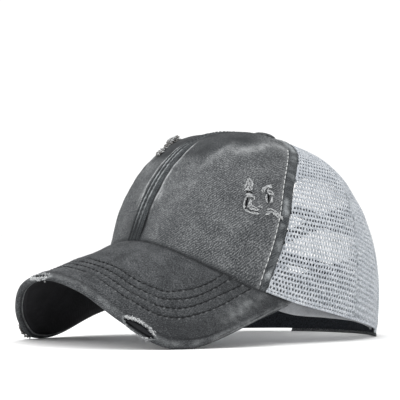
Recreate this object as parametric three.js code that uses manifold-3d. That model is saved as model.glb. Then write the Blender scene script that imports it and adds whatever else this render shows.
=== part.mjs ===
// A six-panel cap: two washed cotton front panels, four mesh panels, a bent peak, and a tall
// opening at the back that two pairs of crossed elastic straps and a tab closure bridge.
// Millimetres. -Y is the front, +X the wearer's left, +Z up. The cap stands on a table, on the two
// low corners of its peak and on the closure at the back, so the crown is tipped back a little.
import * as THREE from "three";
import { mergeVertices } from "three/addons/utils/BufferGeometryUtils.js";
import Module from "manifold-3d";

const wasm = await Module();
wasm.setup();

// Driving dimensions of the crown.
const FRONT_REACH = 95.8; // from the middle of the head to the front panels' outer face
const BACK_REACH = 97.8;
const SIDE_REACH = 80.8;
const BUTTON_Y = 16.4;
const CROWN_TOP = 137.2; // where the panels meet, under the button
const TIP_BACK = 14.8; // degrees that the crown's top leans back
const TIP_ONSET = 2.89; // how late up the crown the lean sets in
const TOP_SHIFT = 0.8; // how early up the crown its middle moves towards the button

// How full each side of the crown is: 2 is an ellipse, and more is squarer.
const FULLNESS = { front: 2.27, side: 2.58, back: 1.8 };
const PLAN_SQUARENESS = { frontRim: 2.33, frontTop: 2.98, back: 2.02 };

// Height of the crown's lower edge by direction, in degrees from the front.
const RIM = [
  { turn: 0, height: 69.1 },
  { turn: 15, height: 66.8 },
  { turn: 30, height: 60.0 },
  { turn: 45, height: 49.6 },
  { turn: 60, height: 37.5 },
  { turn: 75, height: 28.2 },
  { turn: 93, height: 20.4 },
  { turn: 112, height: 13.4 },
  { turn: 135, height: 6.6 },
  { turn: 158, height: 2.2 },
  { turn: 180, height: 1.0 },
];

// The seam between a front panel and the mesh: its direction by share of the way up.
const FRONT_SEAM = [
  { up: 0, turn: 64 },
  { up: 0.12, turn: 67.6 },
  { up: 0.24, turn: 70.2 },
  { up: 0.4, turn: 72.8 },
  { up: 0.52, turn: 76.3 },
  { up: 0.7, turn: 83.5 },
  { up: 1, turn: 94 },
];
const REAR_SEAM_TURN = 109;
const PANEL_TOP = 0.965; // share of the way up where the panels stop under the button

// Cloth thicknesses, and how deep under the crown's outer face each layer starts.
const GAP = 0.3;
const COTTON = 1.2;
const MESH = 1.1;
const LINING = { depth: 1.8, thick: 1.0, inset: 2, low: 0.05, high: 0.93 };
const SWEATBAND = { depth: 3.5, thick: 1.5, endTurn: 147 };
const SEAM_BAND_WIDTH = 7;
const CENTRE_STRIP = { width: 14, thick: 1.0, lift: 0.4, low: 0.01, high: 0.93 };
const SEAM_ALLOWANCE = { deep: 4.5, fullTurn: 66, endTurn: 76 };

// The sweatband's lower edge hangs a little below the mesh beside the peak.
const SWEATBAND_EDGE = [
  { turn: 0, height: 66.5, tall: 28 },
  { turn: 15, height: 64.0, tall: 28 },
  { turn: 30, height: 56.5, tall: 28 },
  { turn: 45, height: 44.5, tall: 28 },
  { turn: 60, height: 29.5, tall: 28 },
  { turn: 75, height: 20.0, tall: 28 },
  { turn: 93, height: 16.6, tall: 28 },
  { turn: 112, height: 13.0, tall: 26 },
  { turn: 135, height: 6.6, tall: 22 },
  { turn: 150, height: 3.6, tall: 19 },
];

// The peak's outer edge from its tip to its end at the crown. It touches the table at share 0.6.
const PEAK_EDGE = [
  { share: 0, across: 0, out: -167.8, up: 44.3 },
  { share: 0.18, across: 34.1, out: -163.6, up: 36.9 },
  { share: 0.36, across: 59.7, out: -150.4, up: 18.6 },
  { share: 0.52, across: 75.5, out: -131.3, up: 3.2 },
  { share: 0.6, across: 80.7, out: -116.3, up: 0.5 },
  { share: 0.68, across: 84.4, out: -99.6, up: 3.0 },
  { share: 0.84, across: 88.4, out: -64.3, up: 16.3 },
  { share: 1, across: 79.3, out: -24.7, up: 28.0 },
];
const PEAK = {
  endTurn: 75.3, // where the peak ends on the crown
  half: 2.1, // half its thickness, and the radius of its rolled edge
  skin: 1.1,
  noseRoom: 1.7, // from the outer edge to the hollow inside the rolled edge
  boardHalf: 0.75,
  boardInset: 2.6, // from the outer edge to the board
  coverWrap: 4.6, // how far the cover comes round underneath
  lap: 9, // how far the blanks reach inside the crown before they are cut to it
};

// The opening at the back: straight sides and an arched top, with a binding round it.
const OPENING = { halfWidth: 47.5, springing: 62, rise: 49 };
const BINDING = { width: 6, proud: 0.4, under: 1.4 };

const TAB = { top: 22, endTop: -40, endFoot: -46, proud: 0.4, under: 1.3, round: 4 };
const CLOSURE_STRIP = { low: 2, top: 20, right: -62, left: 43, depth: 2.0, thick: 1.0 };

// Each elastic strap runs from the right edge of the opening to the left one.
const STRAPS = [
  { name: "cross_strap_upper_over", rightHeight: 92, leftHeight: 67, side: 1 },
  { name: "cross_strap_upper_under", rightHeight: 67, leftHeight: 92, side: -1 },
  { name: "cross_strap_lower_over", rightHeight: 55, leftHeight: 34, side: 1 },
  { name: "cross_strap_lower_under", rightHeight: 34, leftHeight: 55, side: -1 },
];
const STRAP = { width: 9, thick: 1.1, depth: 3, tuck: 4, bow: 4, apart: 1.6, crossing: 22 };

const BUTTON = { radius: 8.3, tall: 4.2, clear: 0.9, rim: 1.4 };

// Finishes, as colour, roughness and metalness.
const FINISH = {
  cotton: { color: 0x6b6d6e, roughness: 0.95 },
  darkSeam: { color: 0x4d4f51, roughness: 0.95 },
  peakCotton: { color: 0x5b5d5f, roughness: 0.95 },
  lining: { color: 0xb4b8bd, roughness: 0.9 },
  mesh: { color: 0xaeb3b8, roughness: 0.85 },
  board: { color: 0x17171a, roughness: 0.6 },
  underside: { color: 0x1b1b1d, roughness: 0.9 },
  sweatband: { color: 0x77797b, roughness: 0.95 },
  elastic: { color: 0x262b30, roughness: 0.85 },
};

const rad = THREE.MathUtils.degToRad;
const mix = THREE.MathUtils.lerp;

// Reads a column of a table at a value of its first column, on a smooth curve through the rows.
function smoothly(rows, by, column, at) {
  const last = rows.length - 1;
  const clamped = Math.min(Math.max(at, rows[0][by]), rows[last][by]);
  const i = Math.min(rows.findLastIndex((row) => row[by] <= clamped), last - 1);
  const slope = (k) => {
    const a = rows[Math.max(k - 1, 0)];
    const b = rows[Math.min(k + 1, last)];
    return (b[column] - a[column]) / (b[by] - a[by]);
  };
  const span = rows[i + 1][by] - rows[i][by];
  const t = (clamped - rows[i][by]) / span;
  const rise = rows[i + 1][column] - rows[i][column];
  const start = slope(i) * span;
  const end = slope(i + 1) * span;
  return rows[i][column] + t * (start + t * (3 * rise - 2 * start - end + t * (start + end - 2 * rise)));
}

// How far a squared ellipse reaches in a direction, against a plain ellipse.
function planReach(turn, share) {
  const { frontRim, frontTop, back } = PLAN_SQUARENESS;
  const power = Math.cos(turn) > 0 ? mix(frontRim, frontTop, share) : back;
  return (Math.abs(Math.cos(turn)) ** power + Math.abs(Math.sin(turn)) ** power) ** (-1 / power);
}

// A point of the crown's outer face: turn is the direction in radians from the front, positive to
// the wearer's left, and up runs from 0 at the lower edge to 1 under the button. Below the lower
// edge the face goes straight down by drop.
function crownPoint(turn, up, drop = 0) {
  const cos = Math.cos(turn);
  const ahead = Math.max(cos, 0) ** 2;
  const behind = Math.max(-cos, 0) ** 2;
  const full = FULLNESS.front * ahead + FULLNESS.back * behind + FULLNESS.side * (1 - ahead - behind);
  const angle = (Math.min(up, 0.9999) * Math.PI) / 2;
  const inward = Math.cos(angle) ** (2 / full);
  const climb = Math.sin(angle) ** (2 / full);
  const reach = planReach(turn, climb) * inward;
  // The rim is read by the angle from the front, so that a turn past 180 degrees finds it too.
  const fromFront = THREE.MathUtils.radToDeg(Math.acos(cos));
  const foot = smoothly(RIM, "turn", "height", fromFront);
  const y = -(cos > 0 ? FRONT_REACH : BACK_REACH) * cos * reach + BUTTON_Y * climb ** TOP_SHIFT;
  const lean = Math.tan(rad(TIP_BACK)) * (BUTTON_Y - y) * climb ** TIP_ONSET;
  const z = mix(foot, CROWN_TOP, climb) + lean - drop;
  return new THREE.Vector3(SIDE_REACH * Math.sin(turn) * reach, y, z);
}

function crownNormal(turn, up) {
  const step = 0.004;
  const low = Math.min(Math.max(up, 0.02), 0.97);
  const along = crownPoint(turn + step, low).sub(crownPoint(turn - step, low));
  const rise = crownPoint(turn, low + step).sub(crownPoint(turn, low - step));
  return along.cross(rise).normalize();
}

// A point of the crown moved out along its normal, or in where out is negative.
function crownAt(turn, up, out, drop = 0) {
  return crownPoint(turn, up, drop).addScaledVector(crownNormal(turn, up), out);
}

// The share of the way up at which the crown reaches a height above the table.
function upAtHeight(turn, height) {
  let low = 0;
  let high = 0.95;
  for (let i = 0; i < 24; i++) {
    const middle = (low + high) / 2;
    if (crownPoint(turn, middle).z < height) low = middle;
    else high = middle;
  }
  return low;
}

// A point of the crown by its height, straight below the lower edge where it is lower than that.
function crownAtHeight(turn, height, out) {
  const drop = Math.max(crownPoint(turn, 0).z - height, 0);
  return crownAt(turn, drop > 0 ? 0 : upAtHeight(turn, height), out, drop);
}

// The turn at which the crown has a given x at a given height, behind the ears.
function turnAtX(x, height) {
  let low = Math.PI / 2;
  let high = Math.PI;
  for (let i = 0; i < 24; i++) {
    const middle = (low + high) / 2;
    if (crownAtHeight(middle, height, 0).x > Math.abs(x)) low = middle;
    else high = middle;
  }
  return low * (Math.sign(x) || 1);
}

// A closed geometry from rings of points, each ring joined to the next across the shorter diagonals,
// with both ends capped.
function skin(rings) {
  const points = rings.flat();
  const count = rings[0].length;
  const index = [];
  for (let r = 0; r + 1 < rings.length; r++) {
    for (let k = 0; k < count; k++) {
      const a = r * count + k;
      const b = r * count + ((k + 1) % count);
      const [c, d] = [a + count, b + count];
      const short = points[a].distanceTo(points[d]) < points[b].distanceTo(points[c]);
      if (short) index.push(a, b, d, a, d, c);
      else index.push(a, b, c, b, d, c);
    }
  }
  const cap = (start, flip) => {
    const ring = rings[start / count];
    const plane = flatten(ring);
    for (const [a, b, c] of THREE.ShapeUtils.triangulateShape(plane, [])) {
      index.push(start + a, start + (flip ? c : b), start + (flip ? b : c));
    }
  };
  cap(0, true);
  cap((rings.length - 1) * count, false);
  return facingOut(points, index);
}

// A ring's points in its own plane.
function flatten(ring) {
  const middle = ring.reduce((sum, p) => sum.add(p), new THREE.Vector3()).divideScalar(ring.length);
  const normal = new THREE.Vector3();
  ring.forEach((p, k) => {
    const q = ring[(k + 1) % ring.length];
    normal.add(p.clone().sub(middle).cross(q.clone().sub(middle)));
  });
  const turn = new THREE.Quaternion().setFromUnitVectors(normal.normalize(), new THREE.Vector3(0, 0, 1));
  return ring.map((p) => {
    const q = p.clone().sub(middle).applyQuaternion(turn);
    return new THREE.Vector2(q.x, q.y);
  });
}

// Builds a geometry from shared points, with its faces turned to point out.
function facingOut(points, index) {
  let volume = 0;
  for (let i = 0; i < index.length; i += 3) {
    const [a, b, c] = [points[index[i]], points[index[i + 1]], points[index[i + 2]]];
    volume += a.dot(b.clone().cross(c));
  }
  const faces = volume < 0 ? index.toReversed() : index;
  return new THREE.BufferGeometry().setFromPoints(points).setIndex(faces);
}

// A closed wall between an outer and an inner grid of points; grid[row][column].
function wall(outer, inner) {
  const rows = outer.length;
  const columns = outer[0].length;
  const points = [...outer.flat(), ...inner.flat()];
  const index = [];
  const quad = (a, b, c, d) => index.push(a, b, c, a, c, d);
  const at = (row, column, layer) => layer * rows * columns + row * columns + column;
  for (let r = 0; r + 1 < rows; r++) {
    for (let c = 0; c + 1 < columns; c++) {
      quad(at(r, c, 0), at(r, c + 1, 0), at(r + 1, c + 1, 0), at(r + 1, c, 0));
      quad(at(r, c, 1), at(r + 1, c, 1), at(r + 1, c + 1, 1), at(r, c + 1, 1));
    }
  }
  for (let c = 0; c + 1 < columns; c++) {
    quad(at(0, c, 1), at(0, c + 1, 1), at(0, c + 1, 0), at(0, c, 0));
    quad(at(rows - 1, c, 0), at(rows - 1, c + 1, 0), at(rows - 1, c + 1, 1), at(rows - 1, c, 1));
  }
  for (let r = 0; r + 1 < rows; r++) {
    quad(at(r, 0, 0), at(r + 1, 0, 0), at(r + 1, 0, 1), at(r, 0, 1));
    quad(at(r, columns - 1, 1), at(r + 1, columns - 1, 1), at(r + 1, columns - 1, 0), at(r, columns - 1, 0));
  }
  return facingOut(points, index);
}

const steps = (count, from = 0, to = 1) =>
  Array.from({ length: count + 1 }, (unused, i) => mix(from, to, i / count));

// Rows up the crown, as shares of the way from the lower edge to the button.
const ROWS = steps(12, 0, PANEL_TOP);

// A patch of the crown between two side edges, each a turn by share of the way up.
function crownPatch({ from, to, columns, rows = ROWS, out = 0, thick, drop = () => 0 }) {
  const layer = (offset) => {
    const point = (up, c, below) => {
      const turn = mix(from(up), to(up), c / columns);
      return crownAt(turn, up, offset, below ? drop(turn) : 0);
    };
    const line = (up, below) => steps(columns).map((unused, c) => point(up, c, below));
    const lines = rows.map((up) => line(up, false));
    return drop(0) > 0 ? [line(rows[0], true), ...lines] : lines;
  };
  return wall(layer(out), layer(out - thick));
}

// The turn that a length along the crown covers at a height share.
function turnOf(length, turn, up) {
  const p = crownPoint(turn, up);
  return length / Math.hypot(p.x, p.y - BUTTON_Y * Math.sin((up * Math.PI) / 2));
}

const seamTurn = (up) => rad(smoothly(FRONT_SEAM, "up", "turn", up));
const beside = (edge, length) => (up) => edge(up) + turnOf(length, edge(up), up);
const mirrored = (edge, side) => (up) => side * edge(up);

// The panels' cloth below the visible edge, where the peak is sewn on.
function allowance(turn) {
  const { deep, fullTurn, endTurn } = SEAM_ALLOWANCE;
  const share = (endTurn - THREE.MathUtils.radToDeg(Math.abs(turn))) / (endTurn - fullTurn);
  return deep * Math.min(Math.max(share, 0.02), 1);
}

function toSolid(geometry) {
  const bare = geometry.clone();
  bare.deleteAttribute("normal");
  bare.deleteAttribute("uv");
  const merged = mergeVertices(bare, 1e-4);
  return new wasm.Manifold(
    new wasm.Mesh({
      numProp: 3,
      vertProperties: new Float32Array(merged.getAttribute("position").array),
      triVerts: new Uint32Array(merged.index.array),
    }),
  );
}

function toGeometry(solid) {
  const mesh = solid.getMesh();
  const geometry = new THREE.BufferGeometry();
  geometry.setAttribute("position", new THREE.BufferAttribute(mesh.vertProperties, 3));
  return geometry.setIndex(new THREE.BufferAttribute(mesh.triVerts, 1));
}

const cut = (geometry, tool) => toGeometry(toSolid(geometry).subtract(toSolid(tool)));
const keep = (geometry, tool) => toGeometry(toSolid(geometry).intersect(toSolid(tool)));

// A shape drawn in x and z, run from behind the head's middle to past the back of the crown.
function throughBack(shape) {
  const depth = BACK_REACH + 20;
  const geometry = new THREE.ExtrudeGeometry(shape, { depth, bevelEnabled: false, curveSegments: 20 });
  geometry.rotateX(Math.PI / 2);
  geometry.translate(0, depth + BUTTON_Y, 0);
  return geometry;
}

// The opening's outline, grown or shrunk by a border.
function openingShape(border) {
  const half = OPENING.halfWidth + border;
  const belowHem = -10;
  const shape = new THREE.Shape();
  shape.moveTo(-half, belowHem);
  shape.lineTo(half, belowHem);
  shape.lineTo(half, OPENING.springing);
  shape.absellipse(0, OPENING.springing, half, OPENING.rise + border, 0, Math.PI, false);
  return shape;
}

function tabShape() {
  const left = OPENING.halfWidth - GAP;
  const shape = new THREE.Shape();
  shape.moveTo(TAB.endFoot, 0);
  shape.lineTo(left, 0);
  shape.lineTo(left, TAB.top);
  shape.lineTo(TAB.endTop + TAB.round, TAB.top);
  shape.quadraticCurveTo(TAB.endTop, TAB.top, TAB.endTop - TAB.round / 4, TAB.top - TAB.round);
  return shape;
}

// A band round the crown between two heights.
function crownBand({ fromTurn, toTurn, columns, low, high, rows, depth, thick }) {
  const turns = steps(columns, fromTurn, toTurn);
  const height = (turn, share) => mix(low(turn), high(turn), share);
  const line = (share, out) => turns.map((turn) => crownAtHeight(turn, height(turn, share), out));
  const layer = (out) => steps(rows).map((share) => line(share, out));
  return wall(layer(-depth), layer(-depth - thick));
}

// The crown as one solid, a gap larger than its outer face, for cutting the peak to it.
function crownCore() {
  const columns = 96;
  const underTable = -15;
  const points = [new THREE.Vector3(0, 0, underTable)];
  const lines = [-1, ...steps(9, 0, 0.9)];
  for (const up of lines) {
    for (let c = 0; c < columns; c++) {
      const p = crownAt((c / columns) * 2 * Math.PI - Math.PI, Math.max(up, 0), GAP);
      if (up < 0) p.z = underTable;
      points.push(p);
    }
  }
  const top = points.push(new THREE.Vector3(0, BUTTON_Y, CROWN_TOP)) - 1;
  const index = [];
  for (let c = 0; c < columns; c++) {
    const next = (c + 1) % columns;
    index.push(0, 1 + c, 1 + next);
    for (let r = 0; r + 1 < lines.length; r++) {
      const a = 1 + r * columns;
      index.push(a + c, a + columns + c, a + next, a + next, a + columns + c, a + columns + next);
    }
    const last = 1 + (lines.length - 1) * columns;
    index.push(last + c, top, last + next);
  }
  return facingOut(points, index);
}

// The peak's middle sheet: share runs from one end, -1, to the other, 1, and inward is the distance
// from the outer edge towards the crown.
function peakOuter(share) {
  const read = (column) => smoothly(PEAK_EDGE_BOTH, "share", column, share);
  return new THREE.Vector3(read("across"), read("out"), read("up"));
}

const PEAK_EDGE_BOTH = [
  ...PEAK_EDGE.slice(1).toReversed().map((row) => ({ ...row, share: -row.share, across: -row.across })),
  ...PEAK_EDGE,
];

function peakInner(share) {
  const turn = rad(PEAK.endTurn) * share;
  return crownAt(turn, 0, 0, PEAK.half);
}

function peakFrame(share) {
  const step = 0.004;
  const outer = peakOuter(share);
  const inner = peakInner(share);
  const across = peakOuter(Math.min(share + step, 1)).sub(peakOuter(Math.max(share - step, -1)));
  const acrossInner = peakInner(share + step).sub(peakInner(share - step));
  const length = inner.distanceTo(outer);
  const inward = inner.clone().sub(outer).normalize();
  // Where the edge runs into the crown, the sheet turns to meet it squarely.
  const clear = THREE.MathUtils.smoothstep(length, 0, 3 * PEAK.lap);
  inward.lerp(crownNormal(rad(PEAK.endTurn) * share, 0).negate(), 1 - clear).normalize();
  const normal = across.add(acrossInner).normalize().cross(inward.clone()).normalize();
  if (normal.z < 0) normal.negate();
  return { outer, inward, normal, length: length + PEAK.lap };
}

// Runs a section of the peak from end to end. The section is a list of points, each a distance in
// from the outer edge, or from the far end of the blank where far is true, and a height.
function peakSweep(section) {
  const rings = steps(44, -1, 1).map((share) => {
    const { outer, inward, normal, length } = peakFrame(share);
    return section.map(({ inset, height, far }) =>
      outer
        .clone()
        .addScaledVector(inward, far ? length : Math.min(inset, length - 1))
        .addScaledVector(normal, height),
    );
  });
  return skin(rings);
}

function coverSection() {
  const { half, skin: thick, coverWrap, noseRoom } = PEAK;
  const inside = half - thick;
  const nose = steps(6, 0.5, 1.5).map((turn) => ({
    inset: half * (1 + Math.cos(turn * Math.PI)),
    height: half * Math.sin(turn * Math.PI),
  }));
  return [
    { far: true, height: half },
    ...nose,
    { inset: coverWrap, height: -half },
    { inset: coverWrap, height: -inside },
    { inset: noseRoom, height: -inside },
    { inset: noseRoom, height: inside },
    { far: true, height: inside },
  ];
}

function boardSection() {
  const { boardHalf, boardInset } = PEAK;
  return [
    { far: true, height: boardHalf },
    { inset: boardInset, height: boardHalf },
    { inset: boardInset, height: -boardHalf },
    { far: true, height: -boardHalf },
  ];
}

function undersideSection() {
  const { half, skin: thick, coverWrap } = PEAK;
  return [
    { far: true, height: thick - half },
    { inset: coverWrap + GAP, height: thick - half },
    { inset: coverWrap + GAP, height: -half },
    { far: true, height: -half },
  ];
}

// A flat elastic strap between the two edges of the opening, bowed out a little in the middle.
function strap({ rightHeight, leftHeight, side }) {
  const anchor = (sign, height) => {
    const turn = turnAtX(sign * (openingHalfWidth(height) + STRAP.tuck), height);
    const normal = crownNormal(turn, upAtHeight(turn, height));
    return { point: crownAtHeight(turn, height, -STRAP.depth), normal };
  };
  const [start, end] = [anchor(-1, rightHeight), anchor(1, leftHeight)];
  const run = end.point.clone().sub(start.point).normalize();
  // The two straps of a pair lie flat on each other where they cross.
  const flat = new THREE.Vector3(0, Math.abs(run.z), -run.y * Math.sign(run.z)).normalize();
  const rings = steps(14).map((share) => {
    const middle = start.point.clone().lerp(end.point, share);
    const near = share < 0.5 ? start : end;
    const left = Math.abs(near.point.x) - Math.abs(middle.x);
    const swell = THREE.MathUtils.smoothstep(left, 0, Math.abs(near.point.x) - STRAP.crossing);
    const face = near.normal.clone().lerp(flat, swell).projectOnPlane(run).normalize();
    const breadth = run.clone().cross(face).normalize();
    middle.addScaledVector(flat, (STRAP.bow + (side * STRAP.apart) / 2) * swell);
    breadth.multiplyScalar(STRAP.width / 2);
    face.multiplyScalar(STRAP.thick / 2);
    const corner = (b, f) => middle.clone().addScaledVector(breadth, b).addScaledVector(face, f);
    return [corner(-1, -1), corner(1, -1), corner(1, 1), corner(-1, 1)];
  });
  return skin(rings);
}

function openingHalfWidth(height) {
  const share = Math.max(height - OPENING.springing, 0) / OPENING.rise;
  return OPENING.halfWidth * Math.sqrt(Math.max(1 - share ** 2, 0));
}

function button() {
  const { radius, tall, rim, clear } = BUTTON;
  const profile = [new THREE.Vector2(0, clear), new THREE.Vector2(radius - rim / 2, clear)];
  profile.push(new THREE.Vector2(radius, clear + rim / 2));
  for (const turn of steps(5, 0, Math.PI / 2)) {
    profile.push(new THREE.Vector2(radius * Math.cos(turn), clear + rim + (tall - rim) * Math.sin(turn)));
  }
  profile[profile.length - 1].x = 0;
  const geometry = new THREE.LatheGeometry(profile, 28);
  geometry.rotateX(Math.PI / 2);
  geometry.rotateX(-rad(TIP_BACK));
  geometry.translate(0, BUTTON_Y, CROWN_TOP);
  return geometry;
}

const cap = new THREE.Group();

function add(name, geometry, finish) {
  const material = new THREE.MeshStandardMaterial({ ...FINISH[finish], metalness: 0 });
  const mesh = new THREE.Mesh(geometry, material);
  mesh.name = name;
  cap.add(mesh);
}

const core = crownCore();
const openingTool = throughBack(openingShape(BINDING.width + GAP));

for (const [word, side] of [["left", 1], ["right", -1]]) {
  const patch = ({ from, to, ...rest }) =>
    crownPatch({ from: mirrored(from, side), to: mirrored(to, side), ...rest });
  const middle = () => 0;
  const panelEdge = beside(seamTurn, -SEAM_BAND_WIDTH);
  add(
    "front_panel_" + word,
    patch({ from: beside(middle, GAP / 2), to: panelEdge, columns: 9, thick: COTTON, drop: allowance }),
    "cotton",
  );
  add(
    "front_seam_band_" + word,
    patch({ from: beside(panelEdge, GAP), to: seamTurn, columns: 1, thick: COTTON, drop: allowance }),
    "darkSeam",
  );
  add(
    "front_lining_" + word,
    patch({
      from: beside(middle, GAP),
      to: beside(panelEdge, -LINING.inset),
      columns: 8,
      rows: steps(9, LINING.low, LINING.high),
      out: -LINING.depth,
      thick: LINING.thick,
    }),
    "lining",
  );
  const rearSeam = () => rad(REAR_SEAM_TURN);
  add(
    "side_mesh_" + word,
    patch({ from: beside(seamTurn, GAP), to: beside(rearSeam, -GAP / 2), columns: 6, thick: MESH }),
    "mesh",
  );
  const rear = patch({
    from: beside(rearSeam, GAP / 2),
    to: (up) => Math.PI - turnOf(GAP / 2, Math.PI, up),
    columns: 9,
    thick: MESH,
  });
  add("rear_mesh_" + word, cut(rear, openingTool), "mesh");
}

add(
  "centre_seam_strip",
  crownPatch({
    from: (up) => -turnOf(CENTRE_STRIP.width / 2, 0, up),
    to: (up) => turnOf(CENTRE_STRIP.width / 2, 0, up),
    columns: 2,
    rows: steps(12, CENTRE_STRIP.low, CENTRE_STRIP.high),
    out: CENTRE_STRIP.lift + CENTRE_STRIP.thick,
    thick: CENTRE_STRIP.thick,
  }),
  "darkSeam",
);

// A wall that reaches past the opening all round, from which the binding is cut.
const backWall = crownPatch({
  from: () => rad(105),
  to: () => rad(255),
  columns: 18,
  rows: steps(10, 0, 0.85),
  out: BINDING.proud,
  thick: BINDING.proud + BINDING.under,
});
const arch = cut(throughBack(openingShape(BINDING.width)), throughBack(openingShape(0)));
add("opening_binding", keep(backWall, arch), "mesh");

const closureWall = crownBand({
  fromTurn: rad(120),
  toTurn: rad(240),
  columns: 16,
  low: () => -5,
  high: () => TAB.top + 6,
  rows: 2,
  depth: -TAB.proud,
  thick: TAB.proud + TAB.under,
});
add("closure_tab", keep(closureWall, throughBack(tabShape())), "cotton");

add(
  "closure_strip",
  crownBand({
    fromTurn: turnAtX(CLOSURE_STRIP.right, 10) + 2 * Math.PI,
    toTurn: turnAtX(CLOSURE_STRIP.left, 10),
    columns: 18,
    low: () => CLOSURE_STRIP.low,
    high: () => CLOSURE_STRIP.top,
    rows: 1,
    depth: CLOSURE_STRIP.depth,
    thick: CLOSURE_STRIP.thick,
  }),
  "elastic",
);

const sweatband = (column, turn) =>
  smoothly(SWEATBAND_EDGE, "turn", column, THREE.MathUtils.radToDeg(Math.abs(turn)));
add(
  "sweatband",
  crownBand({
    fromTurn: rad(-SWEATBAND.endTurn),
    toTurn: rad(SWEATBAND.endTurn),
    columns: 42,
    low: (turn) => sweatband("height", turn),
    high: (turn) => sweatband("height", turn) + sweatband("tall", turn),
    rows: 3,
    depth: SWEATBAND.depth,
    thick: SWEATBAND.thick,
  }),
  "sweatband",
);

add("peak_cover", cut(peakSweep(coverSection()), core), "peakCotton");
add("peak_board", cut(peakSweep(boardSection()), core), "board");
add("peak_underside", cut(peakSweep(undersideSection()), core), "underside");

for (const row of STRAPS) add(row.name, strap(row), "elastic");

add("button", button(), "cotton");

// The cap stands with the middle of its footprint over the origin and its lowest point on the table.
const box = new THREE.Box3().setFromObject(cap);
cap.position.set(0, -(box.min.y + box.max.y) / 2, -box.min.z);

export default cap;
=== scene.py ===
"""The looks of a worn mesh cap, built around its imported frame, and the plain studio it stands in.

The cap is sewn here as it is in life: washed twill front panels with a felled centre seam, gores of
open mesh, a quilted peak with torn holes, and a tall bound opening at the back with crossed elastic.
Shapes are worked out in millimetres in the maker's frame, -Y to the front, and laid out in metres.
"""

import logging
import math
import random
from dataclasses import dataclass
from enum import Enum
from functools import cache
from typing import Callable

import bmesh
import bpy
import numpy as np
from mathutils import Matrix, Vector


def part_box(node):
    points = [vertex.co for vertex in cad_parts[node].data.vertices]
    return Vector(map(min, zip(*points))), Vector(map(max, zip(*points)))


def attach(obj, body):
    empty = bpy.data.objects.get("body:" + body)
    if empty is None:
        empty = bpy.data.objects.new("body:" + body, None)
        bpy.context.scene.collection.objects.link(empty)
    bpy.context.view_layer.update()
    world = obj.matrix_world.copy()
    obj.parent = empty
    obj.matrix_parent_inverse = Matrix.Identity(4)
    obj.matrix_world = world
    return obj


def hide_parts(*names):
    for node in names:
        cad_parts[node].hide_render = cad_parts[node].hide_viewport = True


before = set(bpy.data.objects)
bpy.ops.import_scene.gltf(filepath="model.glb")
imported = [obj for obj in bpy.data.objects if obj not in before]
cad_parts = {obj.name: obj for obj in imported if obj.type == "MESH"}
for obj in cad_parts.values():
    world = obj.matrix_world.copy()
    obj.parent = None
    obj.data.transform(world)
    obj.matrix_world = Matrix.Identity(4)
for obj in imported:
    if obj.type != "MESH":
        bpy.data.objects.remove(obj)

LOG = logging.getLogger("mesh_cap")
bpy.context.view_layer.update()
MM = 0.001
WEAVE = "weave"  # the UV map that cloth patterns follow, in millimetres along the cloth
WORN = "worn"  # the attribute that says how far the dye has rubbed off, 0 to 1
DYE_AND_SHADE = "dyed"  # the attribute that says how much darker the cloth is painted, 0 to 1: darker dye, and in places painted shade

HEAD_MIDDLE = (0.0, 0.0, 60.0)  # a point inside the crown, in millimetres in the maker's frame
ROUND_MM = 80  # millimetres round the crown for a radian, near enough for a pattern
TABLE_CLEAR = 0.1  # millimetres that loose yarn keeps above the table, where it lies

Array = np.ndarray
Points = tuple[tuple[float, float], ...]
Edge = Callable[[Array], Array]
Shape = Callable[[Array, Array], Array]
Mesh = bmesh.types.BMesh
Socket = bpy.types.NodeSocket


class Side(Enum):
    """The wearer's left, at +X, and right."""

    LEFT = 1
    RIGHT = -1

    @property
    def word(self) -> str:
        """The side as node names spell it."""
        return self.name.lower()


def smoothstep(value: Array, low: float, high: float) -> Array:
    """Runs smoothly from 0 at low to 1 at high.

    Args:
        value: What is read.
        low: Where the result leaves 0.
        high: Where it reaches 1.

    Returns:
        The share, 0 to 1.
    """
    share = np.clip((np.asarray(value, float) - low) / (high - low), 0, 1)
    return share * share * (3 - 2 * share)


def hump(value: Array, middle: float, spread: float) -> Array:
    """A bell of height 1 about a middle, for a ridge, a groove or a worn line."""
    return np.exp(-(((value - middle) / spread) ** 2))


def unit(vectors: Array) -> Array:
    """The same directions with a length of 1."""
    return vectors / np.linalg.norm(vectors, axis=-1, keepdims=True)


@dataclass(frozen=True)
class Curve:
    """A smooth curve through the rows of a short table, each a place and a value."""

    rows: Points

    def __call__(self, at: Array) -> Array:
        """Reads the curve.

        Args:
            at: Places, held within the table's ends.

        Returns:
            The values there.
        """
        place, value = np.array(self.rows, float).T
        last = len(place) - 1
        before = np.maximum(np.arange(last + 1) - 1, 0)
        after = np.minimum(np.arange(last + 1) + 1, last)
        slope = (value[after] - value[before]) / (place[after] - place[before])
        at = np.clip(at, place[0], place[-1])
        i = np.clip(np.searchsorted(place, at, side="right") - 1, 0, last - 1)
        span = place[i + 1] - place[i]
        t = (at - place[i]) / span
        rise = value[i + 1] - value[i]
        start, end = slope[i] * span, slope[i + 1] * span
        return value[i] + t * (start + t * (3 * rise - 2 * start - end + t * (start + end - 2 * rise)))


def mirrored(rows: Points, sign: int = 1) -> Curve:
    """A curve that runs on below 0 as its mirror image, turned over where the sign is -1."""
    return Curve((*((-at, sign * value) for at, value in reversed(rows[1:])), *rows))


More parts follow.
